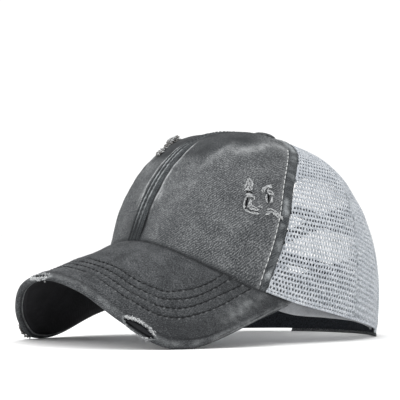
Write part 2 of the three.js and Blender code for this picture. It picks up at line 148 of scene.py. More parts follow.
@dataclass(frozen=True)
class Crumple:
    """Soft uneven swells, as in cloth that has been washed and worn."""

    length: float
    height: float
    seed: int
    waves: int = 7

    def __call__(self, along: Array, up: Array) -> Array:
        """The swell at places on the cloth.

        Args:
            along: Millimetres along the cloth.
            up: Millimetres up it.

        Returns:
            Millimetres out of the cloth's face.
        """
        dice = random.Random(self.seed)
        total = np.zeros(np.broadcast(along, up).shape)
        for _ in range(self.waves):
            heading = dice.uniform(0, math.tau)
            length = self.length * dice.uniform(0.7, 1.7)
            phase = dice.uniform(0, math.tau)
            total += np.sin(math.tau * (along * math.cos(heading) + up * math.sin(heading)) / length + phase)
        return total * self.height / math.sqrt(self.waves)


def mm_box(node: str) -> tuple[Vector, Vector]:
    """A CAD node's lowest and highest corners in millimetres."""
    low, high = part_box(node)
    return low / MM, high / MM


@dataclass(frozen=True)
class Crown:
    """The crown's outer face, by direction and share of the way up.

    A turn is in radians from the front, positive to the wearer's left, and up runs from 0 at the
    lower edge to 1 under the button.
    """

    front_reach: float = 95.8
    back_reach: float = 97.8
    side_reach: float = 80.8
    button_y: float = 16.4
    top: float = 137.2
    tip_back: float = 14.8
    tip_onset: float = 2.89
    top_shift: float = 0.8
    full_front: float = 2.27
    full_side: float = 2.58
    full_back: float = 1.8
    square_rim: float = 2.33
    square_top: float = 2.98
    square_back: float = 2.02
    panel_top: float = 0.965
    rear_seam: float = 109.0
    rim: Curve = Curve((
        (0, 69.1), (15, 66.8), (30, 60.0), (45, 49.6), (60, 37.5), (75, 28.2),
        (93, 20.4), (112, 13.4), (135, 6.6), (158, 2.2), (180, 1.0),
    ))
    front_seam: Curve = Curve((
        (0, 64), (0.12, 67.6), (0.24, 70.2), (0.4, 72.8), (0.52, 76.3), (0.7, 83.5), (1, 94),
    ))

    def points(self, turn: Array, up: Array, drop: Array = 0.0) -> Array:
        """Places on the outer face.

        Args:
            turn: Directions in radians.
            up: Shares of the way up.
            drop: Millimetres straight down, for cloth below the lower edge.

        Returns:
            Places in millimetres, one to a row.
        """
        turn, up = np.broadcast_arrays(np.asarray(turn, float), np.asarray(up, float))
        cos, sin = np.cos(turn), np.sin(turn)
        ahead, behind = np.maximum(cos, 0) ** 2, np.maximum(-cos, 0) ** 2
        full = self.full_front * ahead + self.full_back * behind + self.full_side * (1 - ahead - behind)
        angle = np.clip(up, 0, 0.9999) * math.pi / 2
        inward, climb = np.cos(angle) ** (2 / full), np.sin(angle) ** (2 / full)
        front_power = self.square_rim + (self.square_top - self.square_rim) * climb
        power = np.where(cos > 0, front_power, self.square_back)
        reach = (np.abs(cos) ** power + np.abs(sin) ** power) ** (-1 / power) * inward
        foot = self.rim(np.degrees(np.arccos(np.clip(cos, -1, 1))))
        y = -np.where(cos > 0, self.front_reach, self.back_reach) * cos * reach
        y = y + self.button_y * climb**self.top_shift
        lean = math.tan(math.radians(self.tip_back)) * (self.button_y - y) * climb**self.tip_onset
        z = foot + (self.top - foot) * climb + lean - drop
        return np.stack([self.side_reach * sin * reach, y, z], axis=-1)

    def normals(self, turn: Array, up: Array) -> Array:
        """The outward directions of the outer face."""
        step = 0.004
        low = np.clip(up, 0.02, 0.97)
        along = self.points(turn + step, low) - self.points(turn - step, low)
        rise = self.points(turn, low + step) - self.points(turn, low - step)
        return unit(np.cross(along, rise))

    def at(self, turn: Array, up: Array, out: Array = 0.0, drop: Array = 0.0) -> Array:
        """Places a distance out from the face, or inside it where out is negative."""
        out = np.asarray(out, float)[..., None]
        return self.points(turn, up, drop) + self.normals(turn, up) * out

    def up_at_height(self, turn: Array, height: Array) -> Array:
        """The share of the way up at which the face reaches a height above the table."""
        low = np.zeros(np.broadcast(turn, height).shape)
        high = low + 0.95
        for _ in range(24):
            middle = (low + high) / 2
            short = self.points(turn, middle)[..., 2] < height
            low, high = np.where(short, middle, low), np.where(short, high, middle)
        return low

    def at_height(self, turn: Array, height: Array, out: Array = 0.0) -> Array:
        """Places by their height, straight below the lower edge where that is lower."""
        drop = np.maximum(self.points(turn, 0)[..., 2] - height, 0)
        return self.at(turn, np.where(drop > 0, 0, self.up_at_height(turn, height)), out, drop)

    def turn_at_x(self, x: Array, height: Array) -> Array:
        """The direction, behind the ears, in which the face has an x at a height."""
        x, height = np.broadcast_arrays(np.asarray(x, float), np.asarray(height, float))
        low, high = np.full(x.shape, math.pi / 2), np.full(x.shape, math.pi)
        for _ in range(24):
            middle = (low + high) / 2
            wide = self.at_height(middle, height)[..., 0] > np.abs(x)
            low, high = np.where(wide, middle, low), np.where(wide, high, middle)
        return low * np.where(x < 0, -1, 1)

    def radius(self, turn: Array, up: Array) -> Array:
        """Millimetres along the face for a radian of turn."""
        place = self.points(turn, up)
        middle = self.button_y * np.sin(np.asarray(up) * math.pi / 2)
        return np.hypot(place[..., 0], place[..., 1] - middle)

    def beside(self, turn: Array, up: Array, length: float) -> Array:
        """The turn that lies a length further along the face."""
        return turn + length / self.radius(turn, up)

    def seam(self, up: Array) -> Array:
        """The seam between a front panel and the mesh, as turns on the wearer's left."""
        return np.radians(self.front_seam(up))

    def climb(self, turn: float) -> tuple[Array, Array]:
        """How far up the cloth each share is.

        Args:
            turn: The direction that is measured.

        Returns:
            Shares, and millimetres up the face to each.
        """
        up = np.linspace(0, self.panel_top, 200)
        steps = np.linalg.norm(np.diff(self.points(np.full(up.shape, turn), up), axis=0), axis=1)
        return up, np.concatenate([[0], np.cumsum(steps)])


CROWN = Crown()
FORWARD = mm_box("front_panel_left")[0].y + CROWN.front_reach  # the maker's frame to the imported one


def hex_colour(code: str) -> tuple[float, float, float, float]:
    """Turns an sRGB hex colour to linear."""
    parts = [int(code[i : i + 2], 16) / 255 for i in (1, 3, 5)]
    return (*(c / 12.92 if c <= 0.04045 else ((c + 0.055) / 1.055) ** 2.4 for c in parts), 1.0)


def add_node(tree: bpy.types.NodeTree, kind: str, settings: dict = {}, links: dict = {}) -> bpy.types.Node:
    """Adds a node to a material.

    Args:
        tree: The material's nodes.
        kind: The node's type.
        settings: Its properties by name, and its input values by name or number.
        links: Sockets by the name or number of the input that they run into.

    Returns:
        The node.
    """
    node = tree.nodes.new(kind)
    for key, value in settings.items():
        if isinstance(key, str) and hasattr(node, key):
            setattr(node, key, value)
        else:
            node.inputs[key].default_value = value
    for key, source in links.items():
        tree.links.new(source, node.inputs[key])
    return node


MIX_A, MIX_B, MIX_RESULT = 6, 7, 2  # a colour Mix node's sockets


class Pattern:
    """The shared parts of a cloth material, built around one shader."""

    def __init__(self, name: str, roughness: float, gloss: float = 0.2) -> None:
        """Starts a material.

        Args:
            name: What the material is and how it was made.
            roughness: The shader's roughness.
            gloss: How strongly it mirrors, 0.5 for a plain smooth surface.
        """
        self.material = bpy.data.materials.new(name)
        self.material.use_nodes = True
        self.tree = self.material.node_tree
        self.shader = self.tree.nodes["Principled BSDF"]
        self.shader.inputs["Roughness"].default_value = roughness
        self.shader.inputs["Specular IOR Level"].default_value = gloss
        self.threads = add_node(self.tree, "ShaderNodeUVMap", {"uv_map": WEAVE}).outputs["UV"]
        self.place = add_node(self.tree, "ShaderNodeTexCoord").outputs["Object"]

    def mapped(self, settings: dict) -> Socket:
        """Places on the cloth, turned or stretched by a Mapping node."""
        return add_node(self.tree, "ShaderNodeMapping", settings, {"Vector": self.threads}).outputs["Vector"]

    def noise(
        self, size_mm: float, detail: float = 2.0, on_cloth: bool = False, rough: float = 0.55
    ) -> Socket:
        """Cloudy noise with spots of a real size, 0 to 1."""
        scale = 1 / size_mm if on_cloth else 1 / (size_mm * MM)
        settings = {"Scale": scale, "Detail": detail, "Roughness": rough}
        source = self.threads if on_cloth else self.place
        return add_node(self.tree, "ShaderNodeTexNoise", settings, {"Vector": source}).outputs["Fac"]

    def streaks(self, long_mm: float, short_mm: float, heading: float) -> Socket:
        """Noise drawn out along one direction of the cloth.

        Args:
            long_mm: A streak's length.
            short_mm: Its width.
            heading: Its direction from the cloth's own X, in degrees.

        Returns:
            The noise, 0 to 1.
        """
        turned = self.mapped({
            "vector_type": "TEXTURE",
            "Rotation": (0, 0, math.radians(heading)),
            "Scale": (long_mm, short_mm, 1),
        })
        settings = {"Scale": 1.0, "Detail": 2.0, "Roughness": 0.6}
        return add_node(self.tree, "ShaderNodeTexNoise", settings, {"Vector": turned}).outputs["Fac"]

    def bands(self, period_mm: float, direction: str, stir: float = 0.0) -> Socket:
        """Even lines across the cloth, 0 to 1.

        Args:
            period_mm: From one line to the next, along an axis of the cloth.
            direction: X, Y or DIAGONAL, which rises to the right.
            stir: How uneven the lines are.

        Returns:
            The lines' strength.
        """
        turned = self.mapped({"Scale": (1, -1, 0)})
        # A Wave texture's period at a scale of 1, measured along each of its axes
        wave_step = math.tau / (10 if direction == "DIAGONAL" else 20)
        settings = {
            "bands_direction": direction,
            "Scale": wave_step / period_mm,
            "Distortion": stir,
            "Detail": 1.0,
            "Detail Scale": 1.5,
        }
        return add_node(self.tree, "ShaderNodeTexWave", settings, {"Vector": turned}).outputs["Fac"]

    def math(self, operation: str, *values: Socket | float) -> Socket:
        """Works out a sum of sockets and numbers."""
        numbers = {i: v for i, v in enumerate(values) if isinstance(v, (int, float))}
        sockets = {i: v for i, v in enumerate(values) if not isinstance(v, (int, float))}
        return add_node(self.tree, "ShaderNodeMath", {"operation": operation, **numbers}, sockets).outputs[0]

    def blend(self, parts: list[tuple[Socket, float]]) -> Socket:
        """Adds patterns together about a middle grey.

        Args:
            parts: Patterns from 0 to 1, each with how strongly it counts.

        Returns:
            The sum, 0.5 where every pattern is in its middle.
        """
        total: Socket | float = 0.5 - sum(weight for _, weight in parts) / 2
        for source, weight in parts:
            total = self.math("MULTIPLY_ADD", source, weight, total)
        return total

    def ramp(self, value: Socket, stops: list[tuple[float, str]]) -> Socket:
        """Colours a pattern by a few stops."""
        node = add_node(self.tree, "ShaderNodeValToRGB", {}, {"Fac": value})
        elements = node.color_ramp.elements
        while len(elements) < len(stops):
            elements.new(0.5)
        for element, (at, code) in zip(elements, stops):
            element.position, element.color = at, hex_colour(code)
        return node.outputs["Color"]

    def marked(self, colour: Socket, name: str, code: str, broken: Socket) -> Socket:
        """Mixes in a colour where the cloth is marked, broken up by a pattern."""
        mark = add_node(self.tree, "ShaderNodeAttribute", {"attribute_name": name}).outputs["Fac"]
        ragged = self.math("MAXIMUM", self.math("MULTIPLY_ADD", broken, 3.6, -0.9), 0.0)
        share = self.math("MULTIPLY", mark, ragged)
        node = add_node(
            self.tree, "ShaderNodeMix",
            {"data_type": "RGBA", "clamp_factor": True, MIX_B: hex_colour(code)},
            {0: share, MIX_A: colour},
        )
        return node.outputs[MIX_RESULT]

    def dress(self, colour: Socket, height: Socket, depth_mm: float) -> bpy.types.Material:
        """Joins the colour and the relief to the shader.

        Args:
            colour: The surface's colour.
            height: Its relief, 0 to 1.
            depth_mm: How deep the relief is.

        Returns:
            The finished material.
        """
        self.tree.links.new(colour, self.shader.inputs["Base Color"])
        settings = {"Strength": 1.0, "Distance": depth_mm * MM}
        bump = add_node(self.tree, "ShaderNodeBump", settings, {"Height": height})
        self.tree.links.new(bump.outputs["Normal"], self.shader.inputs["Normal"])
        return self.material


@dataclass(frozen=True)
class WashedTwill:
    """Cotton twill, dyed when sewn and then stone washed.

    The eye sees broken diagonal ribs, pale slubs between them, clouds where the dye washed out, and
    pale rubbed edges beside darker sheltered cloth; the darker marks also carry painted shade in
    places. Real twill ribs are about 0.7 mm apart, too fine to show, so they are drawn nearly twice
    as wide.
    """

    name: str
    deep: str
    base: str
    pale: str
    rubbed: str
    gloss: float = 0.2
    rib_mm: float = 1.25
    ribs: float = 0.22
    grain: float = 1.6
    slubs: float = 1.7
    clouds: float = 0.6
    patches: float = 0.35
    streak: tuple[float, float, float] = (1.7, 0.6, 48)
    slub_mm: float = 0.7
    cloud_mm: float = 16
    patch_mm: float = 4.5
    relief_mm: float = 0.3

    @cache
    def material(self) -> bpy.types.Material:
        """Builds the material."""
        cloth = Pattern(self.name, roughness=0.92, gloss=self.gloss)
        ribs = cloth.bands(self.rib_mm * math.sqrt(2), "DIAGONAL", stir=1.2)
        grain = cloth.streaks(*self.streak)
        slubs = cloth.noise(self.slub_mm, on_cloth=True, rough=0.7)
        clouds = cloth.noise(self.cloud_mm, detail=4)
        patches = cloth.noise(self.patch_mm, detail=3)
        parts = [(ribs, self.ribs), (grain, self.grain), (slubs, self.slubs)]
        parts += [(clouds, self.clouds), (patches, self.patches)]
        colour = cloth.ramp(cloth.blend(parts), [(0.1, self.deep), (0.5, self.base), (0.92, self.pale)])
        # The darker marks are darker dye and, on the panels and the peak, also painted shade and painted
        # shadow
        colour = cloth.marked(colour, DYE_AND_SHADE, self.deep, cloth.blend([(clouds, 0.4)]))
        colour = cloth.marked(colour, WORN, self.rubbed, cloth.blend([(slubs, 0.6), (patches, 0.8)]))
        relief = cloth.blend([(ribs, 0.3), (grain, 0.4), (slubs, 0.3)])
        return cloth.dress(colour, relief, self.relief_mm)


@dataclass(frozen=True)
class KnittedYarn:
    """Open polyester mesh, knitted: thin pale yarn, uneven from loop to loop, that lets light through."""

    name: str
    shade: str
    base: str
    light: str
    through: float = 0.28

    @cache
    def material(self) -> bpy.types.Material:
        """Builds the material."""
        yarn = Pattern(self.name, roughness=0.62)
        loops = yarn.noise(1.1)
        clouds = yarn.noise(12, detail=3)
        stops = [(0.15, self.shade), (0.5, self.base), (0.85, self.light)]
        colour = yarn.ramp(yarn.blend([(loops, 1.9), (clouds, 0.5)]), stops)
        material = yarn.dress(colour, loops, 0.35)
        glow = add_node(yarn.tree, "ShaderNodeBsdfTranslucent", {}, {"Color": colour})
        shaders = {1: yarn.shader.outputs[0], 2: glow.outputs[0]}
        both = add_node(yarn.tree, "ShaderNodeMixShader", {0: self.through}, shaders)
        yarn.tree.links.new(both.outputs[0], yarn.tree.nodes["Material Output"].inputs["Surface"])
        return material


@dataclass(frozen=True)
class RibbedWeave:
    """Narrow woven goods, such as elastic webbing and binding tape: fine ribs across the run."""

    name: str
    dark: str
    base: str
    rib_mm: float = 1.6
    depth_mm: float = 0.22
    roughness: float = 0.85

    @cache
    def material(self) -> bpy.types.Material:
        """Builds the material."""
        tape = Pattern(self.name, roughness=self.roughness)
        across = tape.bands(self.rib_mm, "Y")
        along = tape.bands(self.rib_mm * 0.9, "X", stir=0.5)
        fuzz = tape.noise(1.2)
        value = tape.blend([(across, 0.4), (along, 0.25), (fuzz, 0.4)])
        colour = tape.ramp(value, [(0.1, self.dark), (0.7, self.base)])
        return tape.dress(colour, tape.blend([(across, 0.7), (along, 0.3)]), self.depth_mm)


@dataclass(frozen=True)
class LoopPile:
    """The black loop strip of a touch closure: a fine dense fuzz that swallows light."""

    name: str = "nylon loop pile, knitted"

    @cache
    def material(self) -> bpy.types.Material:
        """Builds the material."""
        pile = Pattern(self.name, roughness=0.95, gloss=0.1)
        loops = pile.noise(0.9, detail=3)
        colour = pile.ramp(loops, [(0.3, "#1d1f22"), (0.7, "#393c41")])
        return pile.dress(colour, loops, 0.6)


@dataclass(frozen=True)
class MouldedBoard:
    """The peak's board, moulded polyethylene sheet: near black, matt, faintly pebbled."""

    name: str = "peak board, moulded polyethylene"

    @cache
    def material(self) -> bpy.types.Material:
        """Builds the material."""
        board = Pattern(self.name, roughness=0.6)
        pebble = board.noise(2.0)
        colour = board.ramp(pebble, [(0.3, "#121315"), (0.75, "#202225")])
        return board.dress(colour, pebble, 0.1)


@dataclass(frozen=True)
class SpunThread:
    """Spun cotton thread or raw yarn, with a twist that breaks its colour up."""

    name: str
    shade: str
    base: str

    @cache
    def material(self) -> bpy.types.Material:
        """Builds the material."""
        thread = Pattern(self.name, roughness=0.9)
        twist = thread.noise(0.9)
        colour = thread.ramp(twist, [(0.3, self.shade), (0.65, self.base)])
        return thread.dress(colour, twist, 0.15)


@dataclass(frozen=True)
class SeamlessPaper:
    """The studio's white paper sweep, with a barely visible tooth."""

    name: str = "white studio paper"

    @cache
    def material(self) -> bpy.types.Material:
        """Builds the material."""
        paper = Pattern(self.name, roughness=0.85)
        tooth = paper.noise(3.0)
        colour = paper.ramp(tooth, [(0.2, "#f8f8f8"), (0.8, "#fafafa")])
        return paper.dress(colour, tooth, 0.02)


PANEL_TWILL = WashedTwill("washed cotton twill, panels", "#2d2f31", "#4d4f51", "#838586", "#a3a5a6")
SEAM_TWILL = WashedTwill(
    "washed cotton twill, sheltered seams", "#222426", "#3c3f41", "#5c5f61", "#a3a7a9", grain=0.8
)
PEAK_TWILL = WashedTwill(
    "washed cotton twill, peak", "#1d1e20", "#37393b", "#6a6c6e", "#96999a", grain=1.4, slubs=1.6, ribs=0.1
)
BAND_TWILL = WashedTwill(
    "cotton twill, sweatband", "#636569", "#7e8083", "#9a9c9e", "#acaeb0", ribs=0.05, grain=0.4, slubs=0.4
)
UNDER_TWILL = WashedTwill(
    "black cotton twill, under the peak", "#1a1a1c", "#252527", "#313134", "#3c3d3f",
    gloss=0.06, grain=0.6, slubs=0.4,
)
SIDE_MESH = KnittedYarn("polyester mesh, warp knitted", "#9aa0a7", "#c4c9cf", "#e8ebee")
LINING_CLOTH = RibbedWeave("plain woven lining", "#9a9ea3", "#bcc0c5", rib_mm=1.3, depth_mm=0.1)
BINDING_TAPE = RibbedWeave("folded binding tape, woven", "#a4a9ae", "#ced2d6", rib_mm=1.5)
ELASTIC = RibbedWeave("elastic webbing, woven", "#15181b", "#2a3036", rib_mm=1.7, depth_mm=0.35)
PALE_THREAD = SpunThread("undyed cotton thread, spun", "#9c9ea0", "#dadbda")
FRAYED_YARN = SpunThread("frayed cotton yarn, torn", "#85878a", "#cfd1d1")
DYED_YARN = SpunThread("dyed cotton yarn, torn", "#4c4b4a", "#8b8987")
DARK_THREAD = SpunThread("dyed cotton thread, spun", "#0e0f10", "#222325")


def unit_grid(columns: int, rows: int) -> Mesh:
    """Starts a flat grid over the square from 0 to 1."""
    mesh = bmesh.new()
    middle = Matrix.Translation((0.5, 0.5, 0))
    bmesh.ops.create_grid(mesh, x_segments=columns, y_segments=rows, size=0.5, matrix=middle)
    return mesh


def flat_places(mesh: Mesh) -> tuple[Array, Array]:
    """The x and y of every vertex, in order."""
    mesh.verts.ensure_lookup_table()
    flat = np.array([vertex.co[:2] for vertex in mesh.verts])
    return flat[:, 0], flat[:, 1]


def lay_out(mesh: Mesh, shape: Shape, weave: Shape, marks: dict[str, Shape] | None = None) -> None:
    """Moves a flat mesh onto a shape, and keeps its place in the cloth.

    Args:
        mesh: A flat mesh in the x and y plane.
        shape: Gives places in millimetres for x and y.
        weave: Gives millimetres along and up the cloth for x and y.
        marks: Gives a mark's strength for x and y, by the attribute's name.
    """
    across, up = flat_places(mesh)
    places = (shape(across, up) + (0, FORWARD, 0)) * MM
    threads = np.stack(np.broadcast_arrays(*weave(across, up)), axis=-1)
    for name, mark in (marks or {}).items():
        layer = mesh.verts.layers.float.new(name)
        for vertex, strength in zip(mesh.verts, np.broadcast_to(mark(across, up), across.shape)):
            vertex[layer] = float(strength)
    for vertex, place in zip(mesh.verts, places):
        vertex.co = place
    mesh.verts.index_update()
    layer = mesh.loops.layers.uv.new(WEAVE)
    for face in mesh.faces:
        for loop in face.loops:
            loop[layer].uv = threads[loop.vert.index]


def face_away(mesh: Mesh, middle: tuple[float, float, float] = HEAD_MIDDLE) -> None:
    """Turns an open sheet's faces away from a point in millimetres, in the maker's frame."""
    mesh.normal_update()
    heart = Vector((middle[0], middle[1] + FORWARD, middle[2])) * MM
    lean = sum(face.normal.dot(face.calc_center_median() - heart) * face.calc_area() for face in mesh.faces)
    if lean < 0:
        bmesh.ops.reverse_faces(mesh, faces=mesh.faces[:])


def close_tube(mesh: Mesh, seam_mm: float = 1e-3) -> None:
    """Joins a rolled-up grid along its seam, closes its ends and turns its faces out."""
    bmesh.ops.remove_doubles(mesh, verts=mesh.verts[:], dist=seam_mm * MM)
    bmesh.ops.holes_fill(mesh, edges=[edge for edge in mesh.edges if edge.is_boundary], sides=0)
    bmesh.ops.recalc_face_normals(mesh, faces=mesh.faces[:])


def sew_in(
    name: str, mesh: Mesh, finish: bpy.types.Material, nodes: tuple[str, ...] = (),
    wall: float = 0.0,
) -> None:
    """Makes a finished piece of the cap.

    Args:
        name: The piece's name.
        mesh: Its mesh, in metres.
        finish: Its material.
        nodes: The CAD nodes that it stands for.
        wall: The thickness in millimetres that an open sheet gets, inwards.
    """
    data = bpy.data.meshes.new(name)
    mesh.to_mesh(data)
    mesh.free()
    data.materials.append(finish)
    data.shade_smooth()
    piece = bpy.data.objects.new(name, data)
    bpy.context.scene.collection.objects.link(piece)
    if wall:
        thickness = piece.modifiers.new("cloth thickness", "SOLIDIFY")
        thickness.thickness = wall * MM
        thickness.offset = -1
    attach(piece, "root")
    if nodes:
        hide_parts(*nodes)
    LOG.info("%s: %d faces", name, len(data.polygons))


def evenly(path: Array, pitch: float) -> Array:
    """Places along a path at an even pitch, in millimetres."""
    run = np.concatenate([[0], np.cumsum(np.linalg.norm(np.diff(path, axis=0), axis=1))])
    stops = np.arange(pitch / 2, run[-1], pitch)
    return np.stack([np.interp(stops, run, path[:, k]) for k in range(path.shape[1])], axis=-1)


def along_points(points: Points, count: int) -> tuple[Array, Array]:
    """Even steps along a line of degrees and shares, as turns in radians and shares of the way up."""
    rows = np.array(points)
    steps = np.linspace(0, len(rows) - 1, count)
    turn, up = (np.interp(steps, np.arange(len(rows)), rows[:, k]) for k in (0, 1))
    return np.radians(turn), up


@dataclass(frozen=True)
class Stitch:
    """A machine stitch, and the pitch of its row, in millimetres."""

    long: float
    wide: float
    thick: float
    pitch: float

    def sew(self, mesh: Mesh, line: Array, faces: Array) -> None:
        """Adds a row of stitches.

        Args:
            mesh: What the stitches are added to.
            line: Places along the row, in millimetres.
            faces: The cloth's outward direction at each.
        """
        spots = evenly(np.column_stack([line, faces]), self.pitch)
        places, outward = spots[:, :3], unit(spots[:, 3:])
        half = Matrix.Diagonal((*(Vector((self.long, self.wide, self.thick)) / 2 * MM), 1))
        for place, run, out in zip(places, unit(np.gradient(places, axis=0)), outward):
            across = np.cross(out, run)
            turned = Matrix((run, across, np.cross(run, across))).transposed().to_4x4()
            where = Matrix.Translation((Vector(place) + Vector((0, FORWARD, 0))) * MM)
            matrix = where @ turned @ half
            bmesh.ops.create_uvsphere(mesh, u_segments=6, v_segments=4, radius=1, matrix=matrix)


PANEL_STITCH = Stitch(3.5, 0.7, 0.6, pitch=4.1)
SEAM_STITCH = Stitch(2.4, 0.5, 0.35, pitch=3.2)
BINDING_STITCH = Stitch(2.3, 0.5, 0.4, pitch=3.2)
TAB_STITCH = Stitch(2.3, 0.55, 0.45, pitch=3.2)
PEAK_STITCH = Stitch(3.0, 0.95, 0.6, pitch=4.0)


@dataclass
class Frays:
    """Loose ends of yarn along a torn edge."""

    seed: int
    thick: float
    length: float
    spread: float
    lift: float
    sides: int = 5
    joints: int = 6

    def __post_init__(self) -> None:
        """Starts the bundle."""
        self.dice = random.Random(self.seed)
        self.mesh = bmesh.new()

    def scatter(self, line: Array, faces: Array, count: int, slant: float) -> None:
        """Lays threads along a line.

        Args:
            line: Places on the cloth along the torn edge, in millimetres.
            faces: The cloth's outward direction at each.
            count: How many threads.
            slant: How far threads stray from the line's own direction, 0 along it to 1 across.
        """
        runs = unit(np.gradient(line, axis=0))
        for _ in range(count):
            at = self.dice.uniform(0, len(line) - 1)
            k, share = int(at), at % 1
            near = min(k + 1, len(line) - 1)
            start = line[k] * (1 - share) + line[near] * share
            run, out = runs[k], faces[k]
            across = np.cross(out, run)
            stray = self.dice.uniform(-1, 1) * slant
            heading = unit(run * math.cos(stray * math.pi / 2) + across * math.sin(stray * math.pi / 2))
            start = start + across * self.dice.gauss(0, self.spread / 2)
            self.thread(start, heading, out)

    def follow(self, line: Array, faces: Array, strands: int) -> None:
        """Lays long yarns side by side along a line.

        Args:
            line: Places on the cloth, in millimetres.
            faces: The cloth's outward direction at each.
            strands: How many yarns.
        """
        out = unit(faces.mean(axis=0))
        length = np.linalg.norm(np.diff(line, axis=0), axis=1).sum()
        path = evenly(line, max(length / max(round(length / 0.8), 4), 0.2))
        across = np.cross(out, unit(np.gradient(path, axis=0)))
        share = np.linspace(0, 1, len(path))[:, None]
        for strand in range(strands):
            aside = (strand - (strands - 1) / 2) * self.thick * 1.3
            for waves in (1.5, 3.5):
                swing = self.dice.uniform(0.4, 1) * self.spread / waves / 2
                aside = aside + swing * np.sin(share * math.tau * waves + self.dice.uniform(0, math.tau))
            rise = self.lift * (0.55 + 0.45 * np.sin(share * math.tau * 2.5 + self.dice.uniform(0, math.tau)))
            self.yarn(path + across * aside + out * rise, out)

    def thread(self, start: Array, heading: Array, out: Array) -> None:
        """Adds one short bent thread from a place on the cloth."""
        length = self.length * self.dice.uniform(0.4, 1.3)
        curl = self.dice.uniform(-0.9, 0.9)
        lift = self.lift * self.dice.uniform(0.3, 1.4)
        across = np.cross(out, heading)
        share = np.linspace(0, 1, self.joints + 1)[:, None]
        bend = across * curl * np.sin(share * math.pi) * length * 0.35
        path = start + heading * length * (share - 0.5) + bend
        self.yarn(path + out * (0.15 + lift * np.sin(share * math.pi)), out)

    def yarn(self, path: Array, out: Array) -> None:
        """Adds one round yarn along a path, thinner at its ends."""
        tangent = unit(np.gradient(path, axis=0))
        side = unit(np.cross(tangent, out))
        other = np.cross(side, tangent)
        joints = len(path) - 1
        made = bmesh.ops.create_grid(self.mesh, x_segments=self.sides, y_segments=joints, size=0.5)["verts"]
        for vertex in made:
            turn, k = (vertex.co.x + 0.5) * math.tau, round((vertex.co.y + 0.5) * joints)
            taper = self.thick / 2 * (0.5 + 0.5 * math.sin(math.pi * (0.15 + 0.7 * k / joints)))
            place = path[k] + (side[k] * math.cos(turn) + other[k] * math.sin(turn)) * taper
            place[2] = max(place[2], TABLE_CLEAR)
            vertex.co = (place + (0, FORWARD, 0)) * MM

    def finish(self) -> Mesh:
        """Closes the threads' seams and ends, and gives the bundle up."""
        close_tube(self.mesh, 1e-4)
        return self.mesh


def rolled_tape(
    path: Array, breadth: Array, out: Array, wide: float, thick: float, around: int = 16, ribs: float = 0.0
) -> Mesh:
    """A flat tape with rounded edges along a path.

    Args:
        path: The tape's middle line, in millimetres.
        breadth: Its unit direction across at each place.
        out: Its unit direction off its face at each place.
        wide: Its width.
        thick: Its thickness.
        around: Faces round its section.
        ribs: The height of the ribs along its length.

    Returns:
        The tape, closed.
    """
    rows = len(path) - 1
    run = np.concatenate([[0], np.cumsum(np.linalg.norm(np.diff(path, axis=0), axis=1))])

    def shape(u: Array, v: Array) -> Array:
        k = np.rint(v * rows).astype(int)
        cos, sin = np.cos(u * math.tau), np.sin(u * math.tau)
        over = np.sign(cos) * np.abs(cos) ** 0.45 * wide / 2
        tall = np.sign(sin) * np.abs(sin) ** 0.6 * (thick / 2 + ribs * np.cos(over * math.tau / wide * 4))
        return path[k] + breadth[k] * over[:, None] + out[k] * tall[:, None]

    mesh = unit_grid(around, rows)
    steps = np.arange(rows + 1)
    lay_out(mesh, shape, lambda u, v: (np.abs(2 * u - 1) * wide, np.interp(v * rows, steps, run)))
    close_tube(mesh)
    return mesh


def tape_along(path: Array, out: Array, wide: float, thick: float, around: int = 16) -> Mesh:
    """A rolled tape that lies flat on the cloth all along its path."""
    breadth = unit(np.cross(np.gradient(path, axis=0), out))
    return rolled_tape(path, breadth, out, wide, thick, around)


@dataclass(frozen=True)
class Tear:
    """A worn-through line in the front panel: frayed yarn beside a slit, by degrees and share up."""

    lines: tuple[Points, ...]
    slit: Points
    open_mm: float


